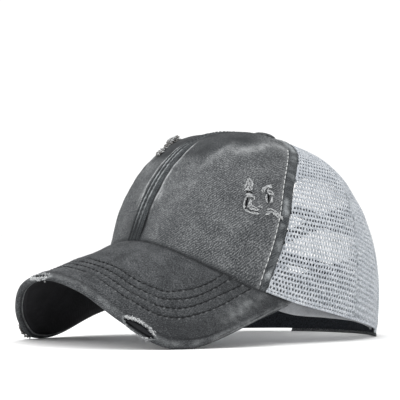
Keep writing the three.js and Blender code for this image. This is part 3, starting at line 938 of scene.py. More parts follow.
@dataclass
class FrontPanels:
    """The two washed front panels, with the rippled bands beside the mesh and their linings."""

    crown: Crown = CROWN
    cloth: float = 1.2
    gap: float = 0.3
    band: Curve = Curve(((0, 4.0), (0.06, 4.9), (0.2, 5.6), (0.6, 6.2), (1, 6.2)))
    columns: int = 136
    rows: int = 150
    below: float = 0.035
    seam_deep: float = 4.5
    seam_full: float = 66.0
    seam_end: float = 76.0
    lining_depth: float = 1.8
    lining_inset: float = 2.0
    lining_low: float = 0.05
    lining_high: float = 0.93
    ridge_at: float = 9.3
    weave_turn: float = math.radians(40)
    tears: tuple[Tear, ...] = (
        Tear(
            lines=(
                ((51.4, 0.399), (50.9, 0.383), (50.3, 0.364), (50.1, 0.345)),
                ((51.6, 0.398), (52.6, 0.389), (53.0, 0.377), (52.7, 0.361), (52.5, 0.348)),
                ((51.6, 0.386), (51.5, 0.367), (51.4, 0.348), (50.6, 0.339)),
                ((50.3, 0.338), (51.5, 0.343), (52.6, 0.343)),
                ((50.6, 0.320), (52.3, 0.324), (54.1, 0.321)),
                ((51.0, 0.312), (52.6, 0.315), (54.0, 0.315), (54.3, 0.308)),
                ((50.9, 0.304), (50.7, 0.285), (50.6, 0.261), (51.0, 0.251)),
                ((53.6, 0.304), (52.9, 0.293), (52.7, 0.276), (52.7, 0.261)),
                ((52.8, 0.298), (53.2, 0.286), (54.1, 0.273)),
                ((51.1, 0.249), (52.2, 0.246), (53.7, 0.243), (55.3, 0.245), (56.8, 0.245)),
                ((52.7, 0.261), (54.2, 0.261), (56.1, 0.259), (56.9, 0.265)),
                ((53.9, 0.274), (54.9, 0.272), (56.0, 0.265)),
                ((56.7, 0.274), (57.4, 0.277), (58.6, 0.274)),
            ),
            slit=((51.8, 0.302), (51.5, 0.260)),
            open_mm=0.75,
        ),
        Tear(
            lines=(
                ((56.9, 0.350), (57.8, 0.365), (59.2, 0.380), (61.1, 0.390), (61.5, 0.378)),
                ((57.7, 0.356), (58.9, 0.372), (60.2, 0.380), (61.7, 0.377)),
                ((58.6, 0.346), (58.3, 0.358), (59.2, 0.369)),
                ((59.6, 0.366), (60.1, 0.353), (61.0, 0.345), (62.6, 0.347)),
                ((59.9, 0.362), (61.6, 0.360), (62.8, 0.349)),
                ((59.4, 0.344), (59.5, 0.322), (59.7, 0.304)),
                ((62.0, 0.339), (62.0, 0.322), (61.6, 0.306)),
            ),
            slit=((60.8, 0.340), (60.7, 0.306)),
            open_mm=0.48,
        ),
        Tear(
            lines=(
                ((60.2, 0.270), (61.7, 0.280), (63.0, 0.277), (64.7, 0.265), (66.7, 0.254), (67.4, 0.245)),
                ((60.3, 0.261), (62.1, 0.268), (63.6, 0.259), (65.4, 0.251), (67.0, 0.252)),
                ((60.1, 0.252), (61.2, 0.257), (62.1, 0.265)),
            ),
            slit=((62.6, 0.271), (65.2, 0.258)),
            open_mm=0.5,
        ),
    )
    small_hole: tuple[float, float] = (52.1, 0.332)
    small_hole_half: float = 1.2
    worn_ridge: Curve = Curve((
        (24, 0.42), (30.5, 0.486), (36, 0.565), (43, 0.565), (49, 0.587), (56, 0.640), (61, 0.690),
        (70, 0.700), (78, 0.64),
    ))

    def edge(self, up: Array) -> Array:
        """Where a front panel ends and its rippled band starts."""
        seam = self.crown.seam(up)
        return seam - self.band(up) / self.crown.radius(seam, up)

    def weave(self, place: Array, side: Side, up: Array, drop: Array) -> tuple[Array, Array]:
        """Where a place lies in the flat cloth, in millimetres along and up it."""
        turn = self.weave_turn
        along = place[..., 0] * side.value * math.cos(turn) + place[..., 1] * math.sin(turn)
        return along * side.value, self.climb_mm(up) - drop

    def climb_mm(self, up: Array) -> Array:
        """Millimetres up the panel's cloth."""
        return np.interp(up, *self.crown.climb(math.radians(40)))

    def split(self, v: Array, turn_degrees: Array) -> tuple[Array, Array]:
        """Parts a panel's rows into the cloth above the lower edge and the allowance below it."""
        whole = v * (1 + self.below) - self.below
        up = np.maximum(whole, 0) * self.crown.panel_top
        share = np.clip((self.seam_end - turn_degrees) / (self.seam_end - self.seam_full), 0.02, 1)
        return up, np.maximum(-whole, 0) / self.below * self.seam_deep * share

    def between(self, u: Array, v: Array, low: Edge, high: Edge) -> tuple[Array, Array, Array]:
        """Lays columns and rows out between two edges.

        Args:
            u: Shares of the way from the first edge to the second.
            v: Shares of the way from the foot of the allowance to the panel's top.
            low: The first edge's turns, by share of the way up.
            high: The second edge's.

        Returns:
            Turns, shares of the way up, and millimetres of drop below the lower edge.
        """
        whole = np.maximum(v * (1 + self.below) - self.below, 0) * self.crown.panel_top
        start, end = low(whole), high(whole)
        turn = start + (end - start) * u
        up, drop = self.split(v, np.degrees(turn))
        return turn, up, drop

    def away_from(self, points: Points, turn: Array, up: Array) -> Array:
        """Millimetres over the cloth from a line of points to places on it."""
        best = np.full(np.shape(turn), np.inf)
        for (turn_a, up_a), (turn_b, up_b) in zip(points[:-1], points[1:]):
            radius = self.crown.radius(math.radians(turn_a), up_a)
            a = np.array([math.radians(turn_a) * radius, self.climb_mm(up_a)])
            b = np.array([math.radians(turn_b) * radius, self.climb_mm(up_b)])
            here = np.stack([turn * radius, self.climb_mm(up)], axis=-1)
            share = np.clip(((here - a) @ (b - a)) / ((b - a) @ (b - a)), 0, 1)
            best = np.minimum(best, np.linalg.norm(here - a - share[..., None] * (b - a), axis=-1))
        return best

    def slits(self) -> list[tuple[Points, float]]:
        """The open lines in the cloth, and how far each gapes to either side."""
        turn, up = self.small_hole
        round_hole = ((turn - 0.3, up), (turn + 0.4, up + 0.002))
        return [(tear.slit, tear.open_mm) for tear in self.tears] + [(round_hole, self.small_hole_half)]

    def panel(self, side: Side) -> None:
        """Builds one panel, torn on the wearer's left.

        Args:
            side: Which panel.
        """
        crown, torn = self.crown, side is Side.LEFT
        low_swell = Crumple(38, 0.42, seed=3 + side.value)
        fine_swell = Crumple(13, 0.13, seed=9 + side.value, waves=11)

        def turns(u: Array, v: Array) -> tuple[Array, Array, Array]:
            return self.between(u, v, lambda up: crown.beside(0, up, self.gap / 2), self.edge)

        def cloth_place(u: Array, v: Array) -> tuple[Array, Array]:
            turn, up, drop = turns(u, v)
            return turn * crown.radius(turn, up), self.climb_mm(up) - drop

        def swell(u: Array, v: Array) -> Array:
            turn, up, _ = turns(u, v)
            s, t = cloth_place(u, v)
            free = smoothstep(t, 0, 12) * smoothstep(1 - u, 0, 0.1) * smoothstep(0.97 - up, 0, 0.1)
            out = (low_swell(s, t) + fine_swell(s, t)) * free
            ridge = hump(s, self.ridge_at, 0.9) * smoothstep(t, 14, 34) * smoothstep(0.62 - up, 0, 0.1)
            out = out + 0.55 * ridge
            fold = hump(up, self.worn_ridge(np.degrees(turn)), 0.022) * smoothstep(s, 14, 50)
            out = out + 0.4 * fold
            if torn:
                for slit, gape in self.slits():
                    out = out + 0.35 * hump(self.away_from(slit, turn, up), gape, 1.1)
            return out

        def shape(u: Array, v: Array) -> Array:
            turn, up, drop = turns(u, v)
            return crown.at(turn, up, swell(u, v), drop) * (side.value, 1, 1)

        def worn(u: Array, v: Array) -> Array:
            turn, up, _ = turns(u, v)
            s, t = cloth_place(u, v)
            lit = 0.85 * hump(s, self.ridge_at, 0.8) * smoothstep(t, 20, 42) * smoothstep(0.62 - up, 0, 0.1)
            curve = self.worn_ridge(np.degrees(turn))
            rubbed = 0.1 + 0.26 * smoothstep(s, 30, 52)
            lit = lit + rubbed * hump(up, curve - 0.008, 0.03) * smoothstep(s, 14, 30)
            lit = lit + 0.3 * hump(s, 17 - 0.12 * t, 1.3) * hump(t, 41, 7) + 0.22 * hump(u, 1.0, 0.02)
            return np.clip(lit, 0, 1)

        # Darker beside the centre strip, darker dye over the top, and painted shade lower down
        def dyed(u: Array, v: Array) -> Array:
            turn, up, _ = turns(u, v)
            s, t = cloth_place(u, v)
            beside_strip = 0.8 * (1 - smoothstep(s, 7.5, self.ridge_at + 0.4))
            past_ridge = up - self.worn_ridge(np.degrees(turn))
            above = smoothstep(past_ridge, 0.01, 0.09) * smoothstep(66 - np.degrees(turn), 0, 24)
            # Painted shadow along the foot, where the panel meets the peak, and painted shade low beside the
            # centre strip
            low = 0.8 * (1 - smoothstep(t, 0.5, 3))
            low = low + 0.4 * (1 - smoothstep(t, 8, 40)) * (1 - smoothstep(s, 9, 24))
            if torn:
                # Painted shade in and round each slit
                for tear in self.tears:
                    low = low + 0.45 * hump(self.away_from(tear.slit, turn, up), 0, tear.open_mm + 1.6)
            else:
                # Painted shade over the whole right panel
                low = low + 0.25
            return np.clip(beside_strip + 0.85 * above + low, 0, 1)

        def weave(u: Array, v: Array) -> tuple[Array, Array]:
            return self.weave(shape(u, v), side, *turns(u, v)[1:])

        mesh = unit_grid(self.columns, self.rows)
        if torn:
            self.cut_slits(mesh, turns)
        lay_out(mesh, shape, weave, {WORN: worn, DYE_AND_SHADE: dyed})
        face_away(mesh)
        name = "front_panel_" + side.word
        sew_in(name, mesh, PANEL_TWILL.material(), (name,), wall=self.cloth)

    def cut_slits(self, mesh: Mesh, turns: Callable[[Array, Array], tuple[Array, Array, Array]]) -> None:
        """Opens the torn slits in a flat panel."""
        for slit, gape in self.slits():
            centres = np.array([face.calc_center_median()[:2] for face in mesh.faces])
            turn, up, _ = turns(centres[:, 0], centres[:, 1])
            inside = self.away_from(slit, turn, up) < gape
            gone = [face for face, cut in zip(mesh.faces, inside) if cut]
            bmesh.ops.delete(mesh, geom=gone, context="FACES")

    def seam_band(self, side: Side) -> None:
        """Builds the dark strip beside the mesh, rippled by its stitching."""
        crown = self.crown

        def turns(u: Array, v: Array) -> tuple[Array, Array, Array]:
            return self.between(u, v, self.edge, crown.seam)

        blotch = Crumple(12, 0.5, seed=33 + side.value, waves=9)

        def pucker(t: Array) -> Array:
            return np.sin(t * math.tau / 7.3) + 0.5 * np.sin(t * math.tau / 4.7 + 1.3)

        def shape(u: Array, v: Array) -> Array:
            turn, up, drop = turns(u, v)
            t = self.climb_mm(up)
            free = np.sin(np.clip(u, 0, 1) * math.pi) ** 0.7 * smoothstep(t, 0, 6)
            out = free * (0.4 + 0.2 * pucker(t + 1.5 * u)) - 0.35 * (1 - u) ** 6
            return crown.at(turn, up, out, drop) * (side.value, 1, 1)

        def weave(u: Array, v: Array) -> tuple[Array, Array]:
            _, up, drop = turns(u, v)
            return side.value * u * self.band(up), self.climb_mm(up) - drop

        def worn(u: Array, v: Array) -> Array:
            _, up, _ = turns(u, v)
            t = self.climb_mm(up)
            patchy = 0.1 * np.maximum(pucker(t + 1.5 * u), 0) + np.maximum(blotch(6 * u, t), 0)
            over_top = 0.4 * smoothstep(up, 0.66, 0.74) * (1 - smoothstep(u, 0.6, 0.8))
            return np.clip(patchy * np.sin(np.clip(u, 0, 1) * math.pi) + over_top, 0, 1)

        mesh = unit_grid(10, 190)
        lay_out(mesh, shape, weave, {WORN: worn})
        face_away(mesh)
        name = "front_seam_band_" + side.word
        sew_in(name, mesh, SEAM_TWILL.material(), (name,), wall=self.cloth)

    def topstitching(self, side: Side) -> None:
        """Builds the pale line of stitches down the panel's rear edge."""
        crown = self.crown
        up = np.linspace(0.004, 0.665, 240)
        turn = crown.beside(self.edge(up), up, -0.6)
        flip = (side.value, 1, 1)
        mesh = bmesh.new()
        PANEL_STITCH.sew(mesh, crown.at(turn, up, 0.35) * flip, crown.normals(turn, up) * flip)
        sew_in("panel_topstitching_" + side.word, mesh, PALE_THREAD.material())

    def lining(self, side: Side) -> None:
        """Builds the pale cloth inside a front panel."""
        crown = self.crown

        def turns(u: Array, v: Array) -> tuple[Array, Array]:
            up = self.lining_low + (self.lining_high - self.lining_low) * v
            start, end = crown.beside(0, up, self.gap), crown.beside(self.edge(up), up, -self.lining_inset)
            return start + (end - start) * u, up

        sag = Crumple(24, 0.22, seed=21 + side.value)

        def shape(u: Array, v: Array) -> Array:
            turn, up = turns(u, v)
            out = -self.lining_depth + np.minimum(sag(turn * ROUND_MM, up * 120) - 0.3, 0.1)
            return crown.at(turn, up, out) * (side.value, 1, 1)

        def weave(u: Array, v: Array) -> tuple[Array, Array]:
            turn, up = turns(u, v)
            return turn * ROUND_MM, self.climb_mm(up)

        mesh = unit_grid(36, 44)
        lay_out(mesh, shape, weave)
        face_away(mesh)
        name = "front_lining_" + side.word
        sew_in(name, mesh, LINING_CLOTH.material(), (name,), wall=1.0)

    def shadow_sheet(self) -> None:
        """Builds a dark sheet behind the tears, which paints the shadow inside the slits."""
        crown = self.crown
        low, high = np.radians(49.0), np.radians(68.0)

        def shape(u: Array, v: Array) -> Array:
            return crown.at(low + (high - low) * u, 0.225 + 0.2 * v, -1.35)

        mesh = unit_grid(16, 16)
        lay_out(mesh, shape, lambda u, v: (u * 24, v * 28))
        face_away(mesh)
        # Black twill behind the slits, standing for the shadow inside them
        sew_in("tear_shadow_sheet_left", mesh, UNDER_TWILL.material(), wall=0.3)

    def frays(self) -> None:
        """Builds the pale yarn that stands along the tears."""
        crown = self.crown
        bundle = Frays(seed=41, thick=0.46, length=2.0, spread=0.75, lift=0.5)
        for tear in self.tears:
            for points in tear.lines:
                turn, up = along_points(points, 8 * len(points))
                line, faces = crown.at(turn, up, 0.25), crown.normals(turn, up)
                length = np.linalg.norm(np.diff(line, axis=0), axis=1).sum()
                bundle.follow(line, faces, 2 if length > 5 else 1)
                bundle.scatter(line, faces, round(length * 0.7), slant=0.5)
        sew_in("tear_frays_left", bundle.finish(), FRAYED_YARN.material())

    def build(self) -> None:
        """Builds both panels with all that is sewn to them."""
        for side in Side:
            self.panel(side)
            self.seam_band(side)
            self.topstitching(side)
            self.lining(side)
        self.shadow_sheet()
        self.frays()


@dataclass
class CentreSeam:
    """The felled seam up the front: a raised dark strip with two rows of stitches, and its lining tape."""

    crown: Crown = CROWN
    width: float = 14.0
    lift: float = 0.4
    cloth: float = 1.0
    low: float = -0.025
    high: float = 0.93
    below: float = 100.0
    grooves: tuple[float, ...] = (-4.6, -0.4, 3.6)
    stitch_rows: tuple[float, ...] = (-3.4, 1.4)
    flat_from: float = 68.0
    flat_to: float = 92.0

    def relief(self, across: Array, t: Array) -> Array:
        """How far the strip's face stands out, by millimetres across and up; it flattens over the top."""
        edge = smoothstep(self.width / 2 - np.abs(across), 0, 1.4)
        flat = smoothstep(t, self.flat_from, self.flat_to)
        out = (self.lift + self.cloth * edge) * (1 - 0.75 * flat)
        for groove in self.grooves:
            out = out - 0.75 * hump(across, groove, 0.75) * (1 - 0.7 * flat)
        pucker = np.sin(t * math.tau / 6.1 + across) * np.sin(t * math.tau / 9.7 + 0.8)
        return out + 0.18 * pucker * edge

    def build(self) -> None:
        """Builds the strip, its stitches and the tape inside."""
        crown = self.crown
        height = crown.climb(0.0)

        def place(u: Array, v: Array) -> tuple[Array, Array, Array]:
            up = np.maximum(self.low + (self.high - self.low) * v, 0)
            across = (u - 0.5) * self.width
            return across / crown.radius(0.0, up), up, across

        def shape(u: Array, v: Array) -> Array:
            turn, up, across = place(u, v)
            drop = np.maximum(-(self.low + (self.high - self.low) * v), 0) * self.below
            return crown.at(turn, up, self.relief(across, np.interp(up, *height)), drop)

        def worn(u: Array, v: Array) -> Array:
            _, up, across = place(u, v)
            t = np.interp(up, *height)
            lit = 0.5 * hump(across, -6.4, 0.5) + 0.6 * hump(across, -2.4, 0.7) + 0.6 * hump(across, 2.2, 0.7)
            return lit * smoothstep(t, 4, 34) * (1 - smoothstep(t, 66, 88))

        def dyed(u: Array, v: Array) -> Array:
            _, up, across = place(u, v)
            t = np.interp(up, *height)
            fade = 1 - 0.7 * smoothstep(t, 66, 90)
            grooves = sum(0.85 * hump(across, groove, 0.8) for groove in self.grooves)
            # Darker in the grooves, and darker towards the foot beside the peak
            return np.clip(grooves * fade + 0.7 * (1 - smoothstep(t, 3, 20)), 0, 1)

        def weave(u: Array, v: Array) -> tuple[Array, Array]:
            _, up, across = place(u, v)
            return across, np.interp(up, *height)

        mesh = unit_grid(44, 170)
        lay_out(mesh, shape, weave, {WORN: worn, DYE_AND_SHADE: dyed})
        face_away(mesh)
        name = "centre_seam_strip"
        sew_in(name, mesh, SEAM_TWILL.material(), (name,), wall=self.cloth)
        self.stitches()
        self.inner_tape()

    def stitches(self) -> None:
        """Builds the two rows of dark stitches."""
        crown = self.crown
        up = np.linspace(0.02, 0.9, 200)
        mesh = bmesh.new()
        for across in self.stitch_rows:
            turn = across / crown.radius(0.0, up)
            out = self.relief(np.full(up.shape, across), np.interp(up, *crown.climb(0.0))) + 0.05
            SEAM_STITCH.sew(mesh, crown.at(turn, up, out), crown.normals(turn, up))
        sew_in("centre_seam_stitches", mesh, DARK_THREAD.material())

    def inner_tape(self) -> None:
        """Builds the pale tape over the seam inside, which the back opening shows."""
        crown = self.crown
        up = np.linspace(0.08, 0.9, 60)
        turn = np.zeros(up.shape)
        out = crown.normals(turn, up)
        path = crown.at(turn, up, -3.6)
        mesh = rolled_tape(path, np.tile((1.0, 0, 0), (len(up), 1)), out, 12, 0.8)
        sew_in("centre_seam_tape", mesh, BINDING_TAPE.material())


@dataclass(frozen=True)
class Opening:
    """The tall opening at the back: two upright sides under half an ellipse."""

    half: float = 47.5
    spring: float = 62.0
    rise: float = 49.0


OPENING = Opening()


@dataclass
class MeshGores:
    """The four panels of open knitted mesh, their hem and the tapes inside their seams.

    The knit is a honeycomb: a grid of bricks with its rows pulled to a zigzag, and a hole inset in
    every cell. The holes come out at about 1.1 by 1.6 mm.
    """

    crown: Crown = CROWN
    opening: Opening = OPENING
    gap: float = 0.3
    pitch: float = 2.0
    row: float = 3.35
    zigzag: float = 0.22
    strand: float = 0.44
    squash: float = 0.5
    uneven: float = 0.11
    belly: float = 1.8
    wall: float = 0.65
    tuck_under: float = 3.4
    hem_tall: float = 1.7
    hem_thick: float = 1.3
    seam_wide: float = 2.4
    seam_thick: float = 0.9
    seam_low: float = 0.03
    seam_high: float = 0.94

    def honeycomb(self, wide: float, tall: float) -> Mesh:
        """Starts a flat honeycomb in millimetres, centred across.

        Args:
            wide: How wide it is at least.
            tall: How tall it is.

        Returns:
            The honeycomb, its cells whole.
        """
        columns, rows = math.ceil(wide / self.pitch), math.ceil(tall / self.row)
        mesh = unit_grid(2 * columns, rows)
        loose = []
        for edge in mesh.edges:
            a, b = edge.verts
            if abs(a.co.x - b.co.x) < 1e-6 and len(edge.link_faces) == 2:
                i, j = round(a.co.x * 2 * columns), round(min(a.co.y, b.co.y) * rows)
                if (i - j) % 2:
                    loose.append(edge)
        for vertex in mesh.verts:
            i, j = round(vertex.co.x * 2 * columns), round(vertex.co.y * rows)
            lift = self.zigzag if (i - j) % 2 == 0 else -self.zigzag
            inner = 0 < j < rows
            vertex.co = ((i - columns) * self.pitch / 2, j * self.row + (lift if inner else 0), 0)
        bmesh.ops.dissolve_edges(mesh, edges=loose, use_verts=False)
        return mesh

    def pierce(self, mesh: Mesh, seed: int) -> None:
        """Insets a hole in every cell that is nearly whole, with more yarn above it than beside it."""
        cell = self.pitch * self.row
        whole = [face for face in mesh.faces if face.calc_area() > 0.62 * cell]
        bmesh.ops.scale(mesh, vec=(1, self.squash, 1), verts=mesh.verts[:])
        bmesh.ops.inset_individual(mesh, faces=whole, thickness=self.strand, use_even_offset=True)
        bmesh.ops.delete(mesh, geom=whole, context="FACES")
        bmesh.ops.scale(mesh, vec=(1, 1 / self.squash, 1), verts=mesh.verts[:])
        dice = random.Random(seed)
        for vertex in mesh.verts:
            if vertex.is_boundary and vertex.link_faces:
                vertex.co.x += dice.gauss(0, self.uneven)
                vertex.co.y = max(vertex.co.y + dice.gauss(0, self.uneven), 0)

    def puff(self, turn: Array, up: Array) -> Array:
        """How far the mesh bellies out behind the ears."""
        return self.belly * hump(up, 0.6, 0.22) * hump(np.degrees(np.abs(turn)), 116, 30)

    def in_opening(self, turn: Array, up: Array) -> Array:
        """Whether places lie in the opening at the back, or just under its binding."""
        place = self.crown.points(turn, up)
        half = self.opening.half + self.tuck_under
        above = np.maximum(place[..., 2] - self.opening.spring, 0) / (self.opening.rise + self.tuck_under)
        return np.abs(place[..., 0]) < half * np.sqrt(np.clip(1 - above**2, 0, 1))

    def gore(self, name: str, side: Side, low: Edge, high: Edge, open_back: bool, seed: int) -> None:
        """Builds one panel of mesh.

        Args:
            name: The piece's and its CAD node's name.
            side: Which side of the head.
            low: The panel's edge nearer the front, by share of the way up.
            high: Its edge nearer the back.
            open_back: Whether the opening at the back is cut from it.
            seed: Starts its swells.
        """
        crown = self.crown
        middle = float(low(np.array(0.0)) + high(np.array(0.0))) / 2
        shares, lengths = crown.climb(middle)
        wide = float(crown.radius(middle, 0.0) * (high(np.array(0.0)) - low(np.array(0.0)))) + 4 * self.pitch
        mesh = self.honeycomb(wide * 1.12, lengths[-1])

        def turns(s: Array, t: Array) -> tuple[Array, Array]:
            up = np.interp(t, lengths, shares)
            axis = (low(up) + high(up)) / 2
            return axis + s / crown.radius(axis, up), up

        def beyond(s: Array, t: Array) -> Array:
            turn, up = turns(s, t)
            past = (turn < low(up)) | (turn > high(up))
            return past | self.in_opening(turn, up) if open_back else past

        centres = np.array([face.calc_center_median()[:2] for face in mesh.faces])
        outside = beyond(centres[:, 0], centres[:, 1])
        bmesh.ops.delete(mesh, geom=[face for face, out in zip(mesh.faces, outside) if out], context="FACES")
        s, t = flat_places(mesh)
        turn, up = turns(s, t)
        axis = (low(up) + high(up)) / 2
        held = (np.clip(turn, low(up), high(up)) - axis) * crown.radius(axis, up)
        for vertex, x in zip(mesh.verts, held):
            vertex.co.x = x
        self.pierce(mesh, seed)
        swell = Crumple(30, 0.5, seed)

        def shape(s: Array, t: Array) -> Array:
            turn, up = turns(s, t)
            free = smoothstep(t, 0, 14) * smoothstep(0.95 - up, 0, 0.1)
            edges = smoothstep(turn - low(up), 0, 0.12) * smoothstep(high(up) - turn, 0, 0.12)
            out = np.minimum(swell(s, t), 0.35) * free * edges + self.puff(turn, up) - 0.1
            return crown.at(turn, up, out) * (side.value, 1, 1)

        lay_out(mesh, shape, lambda s, t: (s, t))
        face_away(mesh)
        sew_in(name, mesh, SIDE_MESH.material(), (name,), wall=self.wall)

    def seam_tape(self, name: str, turn: Edge, low: float, side: Side) -> None:
        """Builds the narrow tape inside a seam between two gores."""
        up = np.linspace(low, self.seam_high, 70)
        turns = turn(up) * side.value
        path, out = self.crown.at(turns, up, self.puff(turns, up) - 1.3), self.crown.normals(turns, up)
        mesh = tape_along(path, out, self.seam_wide, self.seam_thick)
        sew_in(name, mesh, SIDE_MESH.material())

    def hem(self, side: Side) -> None:
        """Builds the rolled lower edge, from the front seam to the opening."""
        crown = self.crown
        end = float(crown.turn_at_x(np.array(self.opening.half + 5), np.array(5.0)))
        turn = np.linspace(float(crown.seam(np.array(0.0))) + 0.004, end, 90)
        path = crown.at(turn, 0.0, -0.5, -self.hem_tall / 2) * (side.value, 1, 1)
        wave = Crumple(17, 0.22, seed=60 + side.value)(turn * 85, np.zeros(turn.shape))
        out = crown.normals(turn, np.zeros(turn.shape)) * (side.value, 1, 1)
        mesh = tape_along(path + out * wave[:, None], out, self.hem_tall, self.hem_thick)
        sew_in("mesh_hem_" + side.word, mesh, SIDE_MESH.material())

    def build(self) -> None:
        """Builds the gores, tapes and hems."""
        crown = self.crown

        def front_seam(up: Array) -> Array:
            return crown.beside(crown.seam(up), up, self.gap)

        def rear_seam(up: Array) -> Array:
            return np.full(np.shape(up), math.radians(crown.rear_seam))

        def back(up: Array) -> Array:
            return np.full(np.shape(up), math.pi)

        for side in Side:
            self.gore("side_mesh_" + side.word, side, front_seam, rear_seam, False, 70 + side.value)
            self.gore("rear_mesh_" + side.word, side, rear_seam, back, True, 80 + side.value)
            self.seam_tape("rear_seam_tape_" + side.word, rear_seam, self.seam_low, side)
            self.hem(side)
        top = self.opening.spring + self.opening.rise + 5
        start = float(crown.up_at_height(np.array(math.pi), np.array(top)))
        self.seam_tape("back_seam_tape", back, start, Side.LEFT)


@dataclass
class BackOpening:
    """The binding round the tall opening, and the crossed elastic straps inside it."""

    crown: Crown = CROWN
    opening: Opening = OPENING
    wide: float = 6.0
    proud: float = 0.4
    under: float = 1.4
    foot: float = 3.0
    strap_wide: float = 9.0
    strap_thick: float = 1.1
    strap_depth: float = 3.0
    tuck: float = 4.0
    bow: float = 4.0
    apart: float = 1.6
    crossing: float = 22.0
    straps: tuple[tuple[str, float, float, int], ...] = (
        ("cross_strap_upper_over", 92, 67, 1),
        ("cross_strap_upper_under", 67, 92, -1),
        ("cross_strap_lower_over", 55, 34, 1),
        ("cross_strap_lower_under", 34, 55, -1),
    )

    def outline(self, border: float, count: int) -> tuple[Array, Array]:
        """The opening's outline grown by a border, as x and height, from the right foot over the arch."""
        half, spring = self.opening.half + border, self.opening.spring
        leg = np.linspace(self.foot, spring, count, endpoint=False)
        turn = np.linspace(math.pi, 0, 2 * count)
        x = np.concatenate([np.full(count, -half), half * np.cos(turn), np.full(count, half)])
        z = np.concatenate([leg, spring + (self.opening.rise + border) * np.sin(turn), leg[::-1]])
        return x, z

    def on_crown(self, x: Array, z: Array, out: float) -> tuple[Array, Array]:
        """Places on the back of the crown by x and height, and the outward directions there."""
        turn = self.crown.turn_at_x(x, z)
        return self.crown.at_height(turn, z, out), self.crown.normals(turn, self.crown.up_at_height(turn, z))

    def binding(self) -> None:
        """Builds the folded tape round the opening."""
        middle = (self.proud - self.under) / 2
        x, z = self.outline(self.wide / 2, 40)
        path, out = self.on_crown(x, z, middle)
        inner, _ = self.on_crown(*self.outline(self.wide / 2 - 1, 40), middle)
        breadth = unit(path - inner)
        out = unit(out - breadth * np.sum(out * breadth, axis=1, keepdims=True))
        mesh = rolled_tape(path, breadth, out, self.wide, self.proud + self.under, around=22)
        sew_in("opening_binding", mesh, BINDING_TAPE.material(), ("opening_binding",))
        stitches = bmesh.new()
        x, z = self.outline(self.wide - 1.3, 40)
        line, faces = self.on_crown(x, z, self.proud - 0.05)
        BINDING_STITCH.sew(stitches, line, faces)
        sew_in("binding_stitches", stitches, PALE_THREAD.material())

    def half_at(self, height: float) -> float:
        """Half the opening's width at a height."""
        share = max(height - self.opening.spring, 0) / self.opening.rise
        return self.opening.half * math.sqrt(max(1 - share**2, 0))

    def strap(self, name: str, right: float, left: float, side: int) -> None:
        """Builds one elastic strap, its edges rolled and its face ribbed.

        Args:
            name: The piece's and its CAD node's name.
            right: The height of its end on the wearer's right.
            left: The height of its other end.
            side: 1 where it lies over its partner, -1 under it.
        """
        ends, faces = [], []
        for sign, height in ((-1, right), (1, left)):
            x = np.array([sign * (self.half_at(height) + self.tuck)])
            place, normal = self.on_crown(x, np.array([float(height)]), -self.strap_depth)
            ends.append(place[0])
            faces.append(normal[0])
        start, end = ends
        run = unit(end - start)
        flat = unit(np.array([0, abs(run[2]), -run[1] * math.copysign(1, run[2])]))
        share = np.linspace(0, 1, 71)[:, None]
        middle = start + (end - start) * share
        first = share < 0.5
        near_x = np.where(first[:, 0], abs(start[0]), abs(end[0]))
        swell = smoothstep((near_x - np.abs(middle[:, 0])) / (near_x - self.crossing), 0, 1)[:, None]
        face = np.where(first, faces[0], faces[1]) * (1 - swell) + flat * swell
        face = unit(face - run * (face @ run)[:, None])
        path = middle + flat * (self.bow + side * self.apart / 2) * swell
        breadth = np.cross(run, face)
        mesh = rolled_tape(path, breadth, face, self.strap_wide, self.strap_thick, around=40, ribs=0.09)
        sew_in(name, mesh, ELASTIC.material(), (name,))

    def build(self) -> None:
        """Builds the binding and the straps."""
        self.binding()
        for row in self.straps:
            self.strap(*row)


